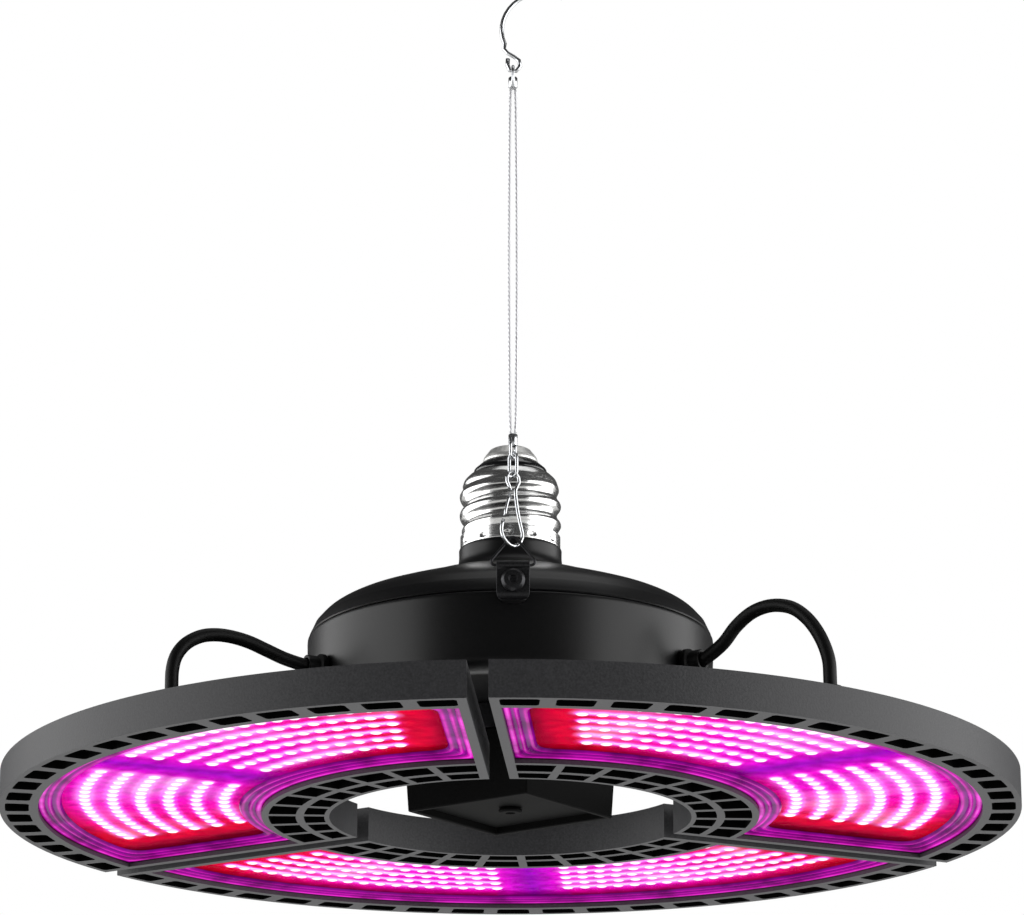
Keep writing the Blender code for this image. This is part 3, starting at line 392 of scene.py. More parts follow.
def turned(profile, steps, closed=False):
    """A solid of revolution about Z from a profile of (r, z) in metres, open only on the axis."""
    bm = bmesh.new()
    rings = []
    for radius, z in profile:
        if radius <= 1e-9:
            rings.append([bm.verts.new((0, 0, z))])
        else:
            rings.append(ring_points(bm, lambda share, radius=radius: radius, z, steps))
    for low, high in zip(rings, rings[1:] + (rings[:1] if closed else [])):
        if len(low) == len(high):
            skin(bm, [low, high])
            continue
        tip, ring = (low[0], high) if len(low) == 1 else (high[0], low)
        for i in range(steps):
            bm.faces.new((tip, ring[i], ring[(i + 1) % steps]))
    return bm


def smooth_route(points, spacing):
    """Evenly spaced points along a Catmull-Rom curve through the given points."""
    points = [Vector(p) for p in points]
    padded = [2 * points[0] - points[1], *points, 2 * points[-1] - points[-2]]
    fine = []
    for a, b, c, d in zip(padded, padded[1:], padded[2:], padded[3:]):
        for i in range(24):
            t = i / 24
            fine.append(0.5 * ((2 * b) + (c - a) * t + (2 * a - 5 * b + 4 * c - d) * t * t
                               + (3 * b - a - 3 * c + d) * t ** 3))
    fine.append(points[-1])
    total = sum((q - p).length for p, q in zip(fine, fine[1:]))
    count = max(2, round(total / spacing))
    route, walked = [fine[0]], 0.0
    for p, q in zip(fine, fine[1:]):
        step = (q - p).length
        while len(route) < count and walked + step >= total / count * len(route):
            route.append(p.lerp(q, (total / count * len(route) - walked) / step))
        walked += step
    route.append(fine[-1])
    return route


def sweep(route, radius, sides):
    """A round tube along a route, its section carried along without twist and its ends eased."""
    bm = bmesh.new()
    tangents = [(after - before).normalized() for before, after
                in zip(route[:1] + route[:-1], route[1:] + route[-1:])]
    ease = 0.35 * radius
    first, last = tangents[0], tangents[-1]
    stations = [(route[0], first, 0.6 * radius), (route[0] + first * ease, first, radius)]
    stations += [(centre, tangent, radius) for centre, tangent in zip(route[1:-1], tangents[1:-1])]
    stations += [(route[-1] - last * ease, last, radius), (route[-1], last, 0.6 * radius)]
    side = first.orthogonal().normalized()
    rings = []
    for centre, tangent, size in stations:
        side = (side - tangent * side.dot(tangent)).normalized()
        up = tangent.cross(side)
        turns = [2 * math.pi * k / sides for k in range(sides)]
        rings.append([bm.verts.new(centre + size * (side * math.cos(turn) + up * math.sin(turn)))
                      for turn in turns])
    skin(bm, rings, ends=True)
    return bm


# ---------------------------------------------------------------- camera, floor and light

def add_camera():
    """Stands 12 degrees below the panels and looks up past them."""
    distance, drop, pitch, aside = 1046.9 * MM, 224.6 * MM, 17.06, 3.3
    data = bpy.data.cameras.new("camera")
    data.lens = 146.57
    data.sensor_width = 36.0
    data.shift_x = 0.0016
    data.clip_end = 50.0
    camera = bpy.data.objects.new("camera", data)
    bpy.context.scene.collection.objects.link(camera)
    turn = math.radians(aside)
    camera.location = (distance * math.sin(turn), -distance * math.cos(turn), lift(-drop))
    camera.rotation_euler = (math.radians(90 + pitch), 0, turn)
    bpy.context.scene.camera = camera


def area_light(name, place, target, size, power):
    data = bpy.data.lights.new(name, "AREA")
    data.shape = "RECTANGLE"
    data.size, data.size_y = size
    data.energy = power
    light = bpy.data.objects.new(name, data)
    bpy.context.scene.collection.objects.link(light)
    light.location = place
    light.rotation_euler = (Vector(target) - Vector(place)).to_track_quat("-Z", "Y").to_euler()
    light.visible_camera = False


def add_studio():
    """Pale floor well below the hanging lamp, a white surround, and soft boxes at both sides."""
    bm = bmesh.new()
    bmesh.ops.create_grid(bm, x_segments=1, y_segments=1, size=12.0)
    floor_finish, tree, shader = new_finish("studio_floor", "#f2f2f0", 0.7)
    add_grain(tree, shader, 3.0, 0.05)
    floor = add_mesh("studio_floor", bm, floor_finish, 0, Matrix.Translation((0, 0, lift(-1300 * MM))))
    world = bpy.data.worlds.new("studio")
    bpy.context.scene.world = world
    world.use_nodes = True
    nodes = world.node_tree
    nodes.nodes.clear()
    path = add_node(nodes, "ShaderNodeLightPath")
    lit = add_node(nodes, "ShaderNodeBackground", {"Color": (1, 1, 1, 1), "Strength": 0.06})
    seen = add_node(nodes, "ShaderNodeBackground", {"Color": (1, 1, 1, 1), "Strength": 1.0})
    mix = add_node(nodes, "ShaderNodeMixShader", {}, Fac=path.outputs["Is Camera Ray"])
    nodes.links.new(lit.outputs[0], mix.inputs[1])
    nodes.links.new(seen.outputs[0], mix.inputs[2])
    add_node(nodes, "ShaderNodeOutputWorld", {}, Surface=mix.outputs[0])
    middle = (0, 0, lift(0.01))
    area_light("left_box", (-1.2, -0.05, lift(0.1)), middle, (2.0, 1.3), 21)
    area_light("right_box", (1.2, -0.05, lift(0.1)), middle, (2.0, 1.3), 24)
    area_light("top_box", (0.2, 0.1, lift(1.3)), middle, (1.0, 1.0), 3)
    area_light("low_box", (0.0, 0.15, lift(-0.8)), middle, (1.2, 0.8), 6)
    area_light("floor_box", (0, 0, lift(-0.4)), (0, 0.001, lift(-1.3)), (24.0, 24.0), 1300)
    scene = bpy.context.scene
    scene.view_settings.view_transform = "Standard"
    scene.view_settings.look = "None"


# ---------------------------------------------------------------- panels

OUTER_R = 130.0 * MM
INNER_R = 46.3 * MM
THICK = 9.0 * MM
SPLIT = 2.5 * MM
SIDE_BAR = 2.3 * MM
WINDOW = (63.6 * MM, 120.2 * MM)
LEDGE_H = 1.0 * MM
LEDGE_W = 0.8 * MM
OUTER_VENTS = (122.5 * MM, 128.5 * MM)
INNER_VENTS = ((47.6 * MM, 52.8 * MM), (54.9 * MM, 61.8 * MM))
VENT_BAR = 2.2 * MM
OUTER_BAR = 3.8 * MM
COLUMNS = 20
COLUMN_CUTS = 4  # steps of arc in each slot
CORNER_R = 1.0 * MM
# The frame's second material is the near-black painted shade for the walls inside the vents.
VENT_SHADE = 1  # the frame's second material


def edge_angle(radius, inset):
    return math.pi / 3 - math.asin(inset / radius)


def frame_columns():
    """Angular grid lines as functions of radius, with a tag for the strip that follows each line."""
    lines = [(lambda r: -edge_angle(r, SPLIT), "side")]
    lines.append((lambda r: -edge_angle(r, SPLIT + SIDE_BAR - LEDGE_W), "ledge"))

    def bar_at(r):
        return OUTER_BAR if r > WINDOW[1] else VENT_BAR

    def boundary(index, r):
        return -edge_angle(r, SPLIT + SIDE_BAR - bar_at(r) / 2) * (1 - 2 * index / COLUMNS)

    def slot_line(column, share):
        """The line that lies a share of the way across a column's slot."""
        def angle_at(r):
            bar = math.asin(bar_at(r) / 2 / r)
            low, high = boundary(column, r) + bar, boundary(column + 1, r) - bar
            if column == 0:
                low = -edge_angle(r, SPLIT + SIDE_BAR)
            if column == COLUMNS - 1:
                high = edge_angle(r, SPLIT + SIDE_BAR)
            return low + (high - low) * share
        return angle_at

    for column in range(COLUMNS):
        lines += [(slot_line(column, step / COLUMN_CUTS), "slot") for step in range(COLUMN_CUTS)]
        if column < COLUMNS - 1:
            lines.append((slot_line(column, 1), "bar_even" if column % 2 else "bar_odd"))
    lines.append((lambda r: edge_angle(r, SPLIT + SIDE_BAR), "ledge"))
    lines.append((lambda r: edge_angle(r, SPLIT + SIDE_BAR - LEDGE_W), "side"))
    lines.append((lambda r: edge_angle(r, SPLIT), None))
    return lines


def frame_bands():
    """Radii of the ring lines, with a tag for the band that follows each radius."""
    (a, b), (c, d) = INNER_VENTS
    low, high = WINDOW
    return [(INNER_R, "rim"), (a, "inner_vent"), (b, "rim"), (c, "inner_vent"), (d, "rim"),
            (low - LEDGE_W, "ledge"), (low, "window"), (high, "ledge"), (high + LEDGE_W, "rim"),
            (OUTER_VENTS[0], "outer_vent"), (OUTER_VENTS[1], "rim"), (OUTER_R, None)]


def cell_height(column, band):
    """Height of the frame in one cell of its grid: zero where a vent or the window goes through."""
    if column == "side" or band == "rim":
        return THICK
    if band == "outer_vent":
        return 0.0 if column == "slot" else THICK
    if band == "inner_vent":
        return 0.0 if column in ("slot", "bar_odd") else THICK
    if band == "ledge" or column == "ledge":
        return LEDGE_H
    return 0.0


def add_corner_fillets(bm, left, right):
    """Rounds the four corners of one outer vent with a small web in each."""
    middle = (left(OUTER_VENTS[1]) + right(OUTER_VENTS[1])) / 2
    for radius, inward in zip(OUTER_VENTS, (1, -1)):
        for line in (left, right):
            angle = line(radius)
            corner = Vector((radius * math.cos(angle), radius * math.sin(angle), 0))
            outward = Vector((math.cos(angle), math.sin(angle), 0)) * inward
            along = Vector((-math.sin(angle), math.cos(angle), 0)) * (1 if angle < middle else -1)
            centre = corner + (outward + along) * CORNER_R
            ring = [corner]
            for k in range(6):
                turn = math.pi / 2 * k / 5
                ring.append(centre - (outward * math.cos(turn) + along * math.sin(turn)) * CORNER_R)
            low = [bm.verts.new(point) for point in ring]
            high = [bm.verts.new(point + Vector((0, 0, THICK))) for point in ring]
            bm.faces.new(low)
            bm.faces.new(high)
            for k in range(len(ring)):
                j = (k + 1) % len(ring)
                face = bm.faces.new((low[k], low[j], high[j], high[k]))
                # The fillets' walls take the painted vent shade.
                face.material_index = VENT_SHADE


def panel_frame_mesh():
    columns, bands = frame_columns(), frame_bands()
    bm = bmesh.new()
    made = {}

    def vert(i, j, z):
        key = (i, j, round(z, 7))
        if key not in made:
            radius, angle = bands[j][0], columns[i][0](bands[j][0])
            made[key] = bm.verts.new((radius * math.cos(angle), radius * math.sin(angle), z))
        return made[key]

    def height(i, j):
        if not (0 <= i < len(columns) - 1 and 0 <= j < len(bands) - 1):
            return 0.0
        return cell_height(columns[i][1], bands[j][1])

    for i in range(len(columns) - 1):
        for j in range(len(bands) - 1):
            top = height(i, j)
            if top == 0:
                continue
            ring = [(i, j), (i + 1, j), (i + 1, j + 1), (i, j + 1)]
            bm.faces.new([vert(a, b, 0) for a, b in reversed(ring)])
            bm.faces.new([vert(a, b, top) for a, b in ring])
            neighbours = [(i, j - 1), (i + 1, j), (i, j + 1), (i - 1, j)]
            for (a, b), (c, d), (m, n) in zip(ring, ring[1:] + ring[:1], neighbours):
                other = height(m, n)
                if other >= top:
                    continue
                levels = [other, LEDGE_H, top] if other < LEDGE_H < top else [other, top]
                vent = 0 <= m < len(columns) - 1 and 0 <= n < len(bands) - 1 and "vent" in bands[n][1]
                for low, high in zip(levels, levels[1:]):
                    face = bm.faces.new([vert(a, b, low), vert(c, d, low),
                                         vert(c, d, high), vert(a, b, high)])
                    # Walls that face into a vent take the painted vent shade.
                    face.material_index = VENT_SHADE if vent else 0
    for i, (line, tag) in enumerate(columns[:-1]):
        if tag == "slot" and columns[i - 1][1] != "slot":
            add_corner_fillets(bm, line, columns[i + COLUMN_CUTS][0])
    bmesh.ops.recalc_face_normals(bm, faces=bm.faces)
    return mesh_of("panel_frame", bm)


def add_panel_frames(finish, dark):
    mesh = panel_frame_mesh()
    for number in PANELS:
        piece = add_piece(f"frame_{number}", mesh.copy(), finish, 30.0, panel_place(number))
        # dark is the near-black painted shade for the vents' walls.
        piece.data.materials.append(dark)
        round_edges(piece, 0.28, 2, 40.0)
        stand_for(piece, f"panel_{number}", f"panel_frame_{number}")


# LEDs
ARC_RADII = [73.2 * MM + 7.08 * MM * k for k in range(6)]
LED_START = 10.0 * MM  # from the panel's middle line
LED_END = 22.5 * MM  # from the slit's middle
LED_PITCH = 4.9 * MM
LED_PLANE = 3.6 * MM
LED_PROUD = 0.12 * MM
LED_R = 1.75 * MM
HALO_R = 2.7 * MM
EDGE_REACH = 9.0 * MM
RED_END = 13.5 * MM
BOARD_THICK = 1.5 * MM
COVER_PLANE = 2.45 * MM
LAP = 0.5 * MM  # of board and cover behind the window's edge


def led_angles(radius):
    """Angles of one group's chips on an arc, measured from the panel's middle line."""
    start = math.asin(LED_START / radius)
    end = edge_angle(radius, LED_END)
    count = max(2, round((end - start) * radius / LED_PITCH))
    return [start + (end - start) * k / count for k in range(count + 1)]


def float_attribute(mesh, name, values):
    layer = mesh.attributes.new(name, "FLOAT", "POINT")
    layer.data.foreach_set("value", values)


def add_leds(finish):
    for number in PANELS:
        bm = bmesh.new()
        glow = []
        for radius in ARC_RADII:
            for side in (-1, 1):
                for angle in led_angles(radius):
                    x, y = radius * math.cos(side * angle), radius * math.sin(side * angle)
                    add_led(bm, glow, Vector((x, y, LED_PLANE - LED_PROUD)))
        mesh = mesh_of(f"led_chips_{number}", bm)
        float_attribute(mesh, "glow", glow)
        piece = add_piece(f"led_chips_{number}", mesh, finish, 60.0, panel_place(number))
        stand_for(piece, f"panel_{number}")


def add_led(bm, glow, centre):
    """A low dome on the board whose glow value falls from its middle to its rim."""
    sides, height = 12, 0.46 * MM
    rings = []
    for share, drop, value in ((1.0, 0.0, 0.0), (0.72, 0.28, 0.55), (0.4, 0.42, 0.95)):
        ring = []
        for k in range(sides):
            angle = 2 * math.pi * k / sides
            ring.append(bm.verts.new(centre + Vector((LED_R * share * math.cos(angle),
                                                      LED_R * share * math.sin(angle), -drop * MM))))
            glow.append(value)
        rings.append(ring)
    tip = bm.verts.new(centre + Vector((0, 0, -height)))
    glow.append(1.0)
    for low, high in zip(rings, rings[1:]):
        for k in range(sides):
            j = (k + 1) % sides
            bm.faces.new((low[k], high[k], high[j], low[j]))
    for k in range(sides):
        bm.faces.new((rings[-1][k], tip, rings[-1][(k + 1) % sides]))


def board_light_hue(radius, angle):
    """Hue of the chips' light painted on the board, as a share from 0, red at the board's ends, to 1,
    violet between its two groups of chips.
    """
    side = abs(angle)
    end = edge_angle(radius, LED_END)
    start = math.asin(LED_START / radius)
    if side < start:
        return 0.78 + 0.22 * (1 - side / start)
    if side > end:
        return max(0.0, 0.2 * (1 - (side - end) * radius / RED_END))
    share = min(1.0, (end - side) / (end - start) * 1.35)
    # Near the window's edge the painted light shifts from violet towards pink, alongside the painted
    # shade there.
    return 0.2 + 0.58 * share ** 0.8 - 0.28 * board_edge(radius, angle) * share


def board_halo(where):
    """Light that the chips throw on the board round them, summed over each panel's chips."""
    chips = np.array([(radius * math.cos(side * angle), radius * math.sin(side * angle))
                      for radius in ARC_RADII for angle in led_angles(radius) for side in (-1, 1)])
    points = np.array([(radius * math.cos(angle), radius * math.sin(angle)) for radius, angle in where])
    total = np.zeros(len(points))
    for chip in chips:
        away = np.hypot(*(points - chip).T) / HALO_R
        total += np.exp(-away ** 2)
    return np.minimum(1.0, total)


def board_edge(radius, angle):
    """How near a point of the board is to the window's edge, from 1 at the edge to 0 well inside; it
    sets the painted shade that darkens the board's light there.
    """
    side = (edge_angle(radius, SPLIT + SIDE_BAR) - abs(angle)) * radius
    near = min(side, WINDOW[1] - radius, radius - WINDOW[0])
    return max(0.0, min(1.0, 1 - near / EDGE_REACH))


def grid_sector(low, high, inset, z, radial, angular):
    """A flat sector as a grid of quads, with each point's radius and angle."""
    bm = bmesh.new()
    rows, where = [], []
    for i in range(radial + 1):
        radius = low + (high - low) * i / radial
        row = []
        for j in range(angular + 1):
            angle = -edge_angle(radius, inset) * (1 - 2 * j / angular)
            row.append(bm.verts.new((radius * math.cos(angle), radius * math.sin(angle), z)))
            where.append((radius, angle))
        rows.append(row)
    for low_row, high_row in zip(rows, rows[1:]):
        for j in range(angular):
            bm.faces.new((low_row[j], low_row[j + 1], high_row[j + 1], high_row[j]))
    return bm, where


def add_boards(finish):
    """The lit boards: one thin plate each, with the chips' light painted on it from red at the ends to
    violet in the middle.
    """
    inset = SPLIT + SIDE_BAR - LEDGE_W + 0.3 * MM
    for number in PANELS:
        bm, where = grid_sector(WINDOW[0] - LAP, WINDOW[1] + LAP, inset, LED_PLANE, 64, 220)
        mesh = mesh_of(f"lit_board_{number}", bm)
        float_attribute(mesh, "light_hue", [board_light_hue(*point) for point in where])
        float_attribute(mesh, "halo", board_halo(where))
        float_attribute(mesh, "edge", [board_edge(*point) for point in where])
        piece = add_piece(f"lit_board_{number}", mesh, finish, 30.0, panel_place(number))
        thicken = piece.modifiers.new("plate", "SOLIDIFY")
        thicken.thickness = BOARD_THICK
        thicken.offset = -1.0
        stand_for(piece, f"panel_{number}", f"led_board_{number}")


def lit_mask():
    """White solder mask drowned in light: red ends, magenta between the chips, white-hot round them,
    with painted shade darkening it towards the window's edge.
    """
    made, tree, shader = new_finish("lit_solder_mask", "#14000e", 0.5, 0.0, Specular_IOR_Level=0.0)
    light_hue, halo, edge = (add_node(tree, "ShaderNodeAttribute", {"attribute_name": name}).outputs["Fac"]
                        for name in ("light_hue", "halo", "edge"))
    field = ramp_of(tree, light_hue, (
        (0.0, "#98002c"), (0.1, "#e00030"), (0.28, "#f80438"), (0.42, "#fc0880"), (0.7, "#ff0ccc"),
        (0.86, "#e008d4"), (1.0, "#a004c4")))
    cloud = add_lumps(tree, 3.85, detail=4.0)
    patches = ramp_of(tree, cloud.outputs["Fac"], ((0.3, "#a8a0a8"), (0.7, "#ffffff")))
    field = mix_colours(tree, 0.8, field, patches, "MULTIPLY")
    # Painted shade: the board's light darkens towards the window's edge, under the lens border.
    shade = ramp_of(tree, edge, ((0.0, "#ffffff"), (0.4, "#d8a0c0"), (1.0, "#702068")))
    field = mix_colours(tree, 1.0, field, shade, "MULTIPLY")
    glow = ramp_of(tree, halo, ((0.1, "#000000"), (0.45, "#580638"), (0.75, "#ff50dc"),
                                (1.0, "#fff4ff")))
    drift = add_lumps(tree, 21.7, detail=1.0)
    haze = ramp_of(tree, drift.outputs["Fac"], ((0.45, "#000000"), (0.62, "#f8a0ff"), (0.75, "#f4f0ff")))
    near = ramp_of(tree, halo, ((0.15, "#000000"), (0.6, "#ffffff")))
    haze = mix_colours(tree, 1.0, haze, near, "MULTIPLY")
    light = mix_colours(tree, 1.0, field, glow, "SCREEN")
    light = mix_colours(tree, 0.4, light, haze, "SCREEN")
    light_up(tree, shader, light, 1.25)
    return made


def lit_chip():
    """A lit phosphor-coated chip: white-hot in the middle, pink at its rim."""
    made, tree, shader = new_finish("lit_chip", "#401038", 0.4)
    glow = add_node(tree, "ShaderNodeAttribute", {"attribute_name": "glow"})
    light = ramp_of(tree, glow.outputs["Fac"], ((0.0, "#ff48d8"), (0.6, "#fff8ff")))
    light_up(tree, shader, light, 1.25)
    return made


def clear_pc():
    """Clear polycarbonate cover: almost nothing but its gloss."""
    made, tree, shader = new_finish("clear_polycarbonate", "#30062c", 0.05, 0.0, Alpha=0.03)
    add_grain(tree, shader, 6.0, 0.01)
    return made


def lens_border():
    """Stepped border of the clear cover, which carries the chips' light out to its edges."""
    made, tree, shader = new_finish("edge_lit_polycarbonate", "#180018", 0.14, 0.0,
                                    Specular_IOR_Level=0.02)
    step = add_node(tree, "ShaderNodeAttribute", {"attribute_name": "step"})
    light = ramp_of(tree, step.outputs["Fac"], ((0.0, "#2a0028"), (0.3, "#800484"), (0.65, "#e00abc"),
                                                (1.0, "#ff50ec")))
    patches = ramp_of(tree, add_lumps(tree, 11.1).outputs["Fac"], ((0.35, "#986098"), (0.6, "#ffffff")))
    light_up(tree, shader, mix_colours(tree, 0.9, light, patches, "MULTIPLY"), 1.0)
    add_grain(tree, shader, 1.6, 0.01)
    return made


def border_profile():
    """Steps of the lens border from the window's edge inward: (inset, height, brightness)."""
    return ((0.0, 1.3, 0.1), (0.3, 1.3, 0.55), (0.8, 1.3, 1.0), (1.3, 1.3, 0.6), (1.7, 1.75, 0.25),
            (2.3, 1.75, 0.4), (2.7, 1.5, 0.8), (3.1, 1.5, 0.5), (3.5, 1.95, 0.25), (4.3, 1.95, 0.35),
            (4.8, 1.7, 0.7), (5.3, 1.7, 0.45), (5.8, 2.35, 0.2))


def border_outline(inset, steps):
    """Closed outline of the window moved inward, its corners the rounder the further in it lies."""
    low, high = WINDOW[0] + inset, WINDOW[1] - inset
    side = SPLIT + SIDE_BAR + inset
    outer, inner = edge_angle(high, side), edge_angle(low, side)
    across = steps // 3

    def at(radius, angle):
        return Vector((radius * math.cos(angle), radius * math.sin(angle)))

    points = [at(high, -outer + 2 * outer * k / steps) for k in range(steps)]
    points += [at(high, outer).lerp(at(low, inner), k / across) for k in range(across)]
    points += [at(low, inner - 2 * inner * k / steps) for k in range(steps)]
    points += [at(low, -inner).lerp(at(high, -outer), k / across) for k in range(across)]
    for _ in range(round(inset / MM * 2)):
        before, after = points[-1:] + points[:-1], points[1:] + points[:1]
        points = [(a + 2 * b + c) / 4 for a, b, c in zip(before, points, after)]
    return points


def add_lenses(cover, border):
    for number in PANELS:
        place = panel_place(number)
        bm, _ = grid_sector(WINDOW[0] - LAP, WINDOW[1] + LAP, SPLIT + SIDE_BAR - LAP, COVER_PLANE, 2, 96)
        piece = add_mesh(f"clear_cover_{number}", bm, cover, 30.0, place)
        stand_for(piece, f"panel_{number}", f"lens_{number}")
        bm = bmesh.new()
        loops, values = [], []
        for inset, height, bright in border_profile():
            loops.append([bm.verts.new((x, y, height * MM)) for x, y in border_outline(inset * MM, 96)])
            values += [bright] * len(loops[-1])
        skin(bm, loops)
        bm.normal_update()
        mesh = mesh_of(f"cover_border_{number}", bm)
        float_attribute(mesh, "step", values)
        piece = add_piece(f"cover_border_{number}", mesh, border, 30.0, place)
        stand_for(piece, f"panel_{number}")


# ---------------------------------------------------------------- housing and cap

HOUSING_R = 52.5 * MM
SEAM = 46.4 * MM
BASE = 26.0 * MM
NECK_R = 13.4 * MM
NECK_TOP = 71.3 * MM


def spline_profile(points, steps):
    """A smooth profile through (r, z) points in millimetres."""
    route = smooth_route([(r * MM, z * MM, 0) for r, z in points], steps * MM)
    return [(p.x, p.y) for p in route]


def add_housing(finish):
    shoulder = spline_profile([(50.75, 49.8), (48.1, 52.6), (44.5, 54.75), (39.9, 56.55), (34.4, 58.45),
                               (28.9, 60.25), (23.9, 62.05), (19.4, 63.25), (16.5, 64.15), (14.6, 65.35),
                               (13.65, 66.85), (13.38, 68.6), (13.38, 70.2)], 0.7)
    outside = [(HOUSING_R - 1.2 * MM, SEAM + 0.15 * MM), (HOUSING_R - 0.6 * MM, SEAM + 0.2 * MM),
               (HOUSING_R - 0.42 * MM, SEAM + 0.5 * MM), (51.65 * MM, 47.8 * MM)]
    outside += shoulder
    outside += [(NECK_R, NECK_TOP - 0.5 * MM), (NECK_R - 0.15 * MM, NECK_TOP - 0.15 * MM),
                (NECK_R - 0.5 * MM, NECK_TOP)]
    inside = [(10.5 * MM, NECK_TOP), (10.5 * MM, 62 * MM), (30 * MM, 57.5 * MM), (44 * MM, 52.5 * MM),
              (49.6 * MM, SEAM + 0.15 * MM)]
    bm = turned(outside + inside, 128, closed=True)
    upper = add_mesh("shoulder_shell", bm, finish, 40.0, STANDING)
    stand_for(upper, "housing", "upper_housing")
    edge = 4.0 * MM
    wall = arc((HOUSING_R - edge - 0.8 * MM, BASE + edge), edge, -90, 0, 10)
    outside = [(0, BASE), (20 * MM, BASE)] + wall
    outside += [(HOUSING_R - 0.35 * MM, BASE + 9 * MM), (HOUSING_R - 0.1 * MM, SEAM - 6 * MM),
                (HOUSING_R, SEAM - 1.2 * MM), (HOUSING_R - 0.05 * MM, SEAM - 0.5 * MM),
                (HOUSING_R - 0.3 * MM, SEAM - 0.18 * MM), (HOUSING_R - 1.2 * MM, SEAM - 0.15 * MM)]
    inside = [(HOUSING_R - 2.4 * MM, SEAM - 0.15 * MM), (HOUSING_R - 3.2 * MM, BASE + edge),
              (HOUSING_R - 6 * MM, BASE + 2.4 * MM), (0, BASE + 2.4 * MM)]
    lower = add_mesh("base_shell", turned(outside + inside, 128), finish, 40.0, STANDING)
    stand_for(lower, "housing", "lower_housing")


THREAD_R = 13.25 * MM
ROOT_R = 12.15 * MM
SKIRT_R = 13.05 * MM
THREAD_LOW = 75.0 * MM
PITCH = 5.2 * MM
TURNS = 2.6
THREAD_START = 0.47  # turns, where the first crest lies
LIP_R = 9.4 * MM
DIMPLES = 12
DIMPLE_R = 0.62 * MM
DIMPLE_DEPTH = 0.5 * MM
BORE_R = ROOT_R - 1.2 * MM
CONTACT_LOW = 95.0 * MM
SHELL_TOP = THREAD_LOW + PITCH * TURNS + 3.2 * MM


def add_screw_shell(finish):
    """The rolled thread, with a row of punched dimples round its skirt."""
    steps, rows, skirt_rows = 144, 88, 17
    high = THREAD_LOW + PITCH * TURNS
    bottom = NECK_TOP + 0.1 * MM
    dimple_z = NECK_TOP + 1.3 * MM
    middle, swing = (THREAD_R + ROOT_R) / 2, (THREAD_R - ROOT_R) / 2
    bm = bmesh.new()
    rings = []

    def ring(radius_at, z):
        rings.append(ring_points(bm, radius_at, z, steps))

    def skirt(share, z):
        turn = share * DIMPLES % 1
        near = min(turn, 1 - turn) * 2 * math.pi * SKIRT_R / DIMPLES
        far = math.hypot(near, z - dimple_z)
        return SKIRT_R - DIMPLE_DEPTH * math.exp(-(far / DIMPLE_R) ** 4)

    def thread(share, z):
        wave = math.cos(2 * math.pi * ((z - THREAD_LOW) / PITCH - share + THREAD_START))
        wave = wave ** 0.75 if wave > 0 else wave
        fade = min(1.0, (z - THREAD_LOW) / (0.5 * PITCH), (high - z) / (0.5 * PITCH))
        return middle + swing * (fade * wave - (1 - fade) * 0.4)

    ring(lambda share: SKIRT_R - 0.12 * MM, bottom)
    ring(lambda share: SKIRT_R, bottom + 0.2 * MM)
    for k in range(1, skirt_rows):
        z = bottom + 0.2 * MM + (THREAD_LOW - 0.4 * MM - bottom) * k / skirt_rows
        ring(lambda share, z=z: skirt(share, z), z)
    for k in range(rows + 1):
        z = THREAD_LOW + (high - THREAD_LOW) * k / rows
        ring(lambda share, z=z: thread(share, z), z)
    shoulder = [(12.45 * MM, high), (12.1 * MM, high + 1.3 * MM, 3 * MM),
                (10.6 * MM, high + 2.8 * MM, 2 * MM), (LIP_R + 0.2 * MM, SHELL_TOP), (LIP_R, SHELL_TOP)]
    for radius, z in rounded_profile(shoulder, 6)[1:]:
        ring(lambda share, radius=radius: radius, z)
    ring(lambda share: BORE_R, high)
    ring(lambda share: BORE_R, bottom)
    skin(bm, rings, closed=True)
    piece = add_mesh("threaded_shell", bm, finish, 50.0, STANDING)
    stand_for(piece, "housing", "screw_shell")


def add_cap_tip(insulator, metal):
    """The black glass cone in the shell's mouth, and the contact button on it."""
    low, seat = SHELL_TOP - 2.5 * MM, LIP_R - 0.3 * MM
    cone = [(0, low), (seat, low), (seat, SHELL_TOP + 0.1 * MM),
            (seat + 0.6 * MM, SHELL_TOP + 0.15 * MM, 0.2 * MM),
            (seat + 0.4 * MM, SHELL_TOP + 1.2 * MM, 1.0 * MM),
            (7.7 * MM, CONTACT_LOW - 0.5 * MM, 0.6 * MM), (7.2 * MM, CONTACT_LOW - 0.2 * MM),
            (0, CONTACT_LOW - 0.2 * MM)]
    piece = add_mesh("vitrite_cone", turned(rounded_profile(cone, 6), 96), insulator, 45.0, STANDING)
    stand_for(piece, "housing", "cap_insulator")
    button = [(0, 0), (7.1, 0), (7.2, 0.5, 0.3), (6.9, 1.3, 0.6), (5.4, 3.3, 0.8), (4.6, 3.7, 0.4),
              (0, 3.7)]
    profile = [(radius * MM, CONTACT_LOW + z * MM) for radius, z in rounded_profile(button, 6)]
    piece = add_mesh("contact_button", turned(profile, 96), metal, 45.0, STANDING)
    stand_for(piece, "housing", "centre_contact")


# ---------------------------------------------------------------- leads

LEAD_R = 1.7 * MM
# Heights and distances from the axis, in millimetres.
LEAD_EXIT = 33.8
GROMMET_END = 57.8
GLAND_AT = 94.0
GLAND_TOP = 22.0
# Each lead's middle points as (distance from the axis, height), as its CAD solid runs.
LEAD_ROUTES = (
    ((63.5, 37.0), (67.5, 41.0), (71.8, 43.8), (76.2, 44.9), (80.5, 44.6), (84.6, 43.0), (88.6, 39.4),
     (91.8, 34.4), (93.7, 29.0)),
    ((64.5, 36.6), (68.5, 39.6), (72.6, 41.6), (76.6, 42.4), (80.6, 42.2), (84.6, 40.8), (88.6, 37.6),
     (91.8, 33.2), (93.6, 28.6)),
    ((63.5, 34.9), (68.5, 36.5), (73.5, 38.1), (78.3, 38.9), (82.6, 38.9), (86.6, 38.0), (90.4, 35.7),
     (92.9, 32.4), (93.9, 28.6)),
)


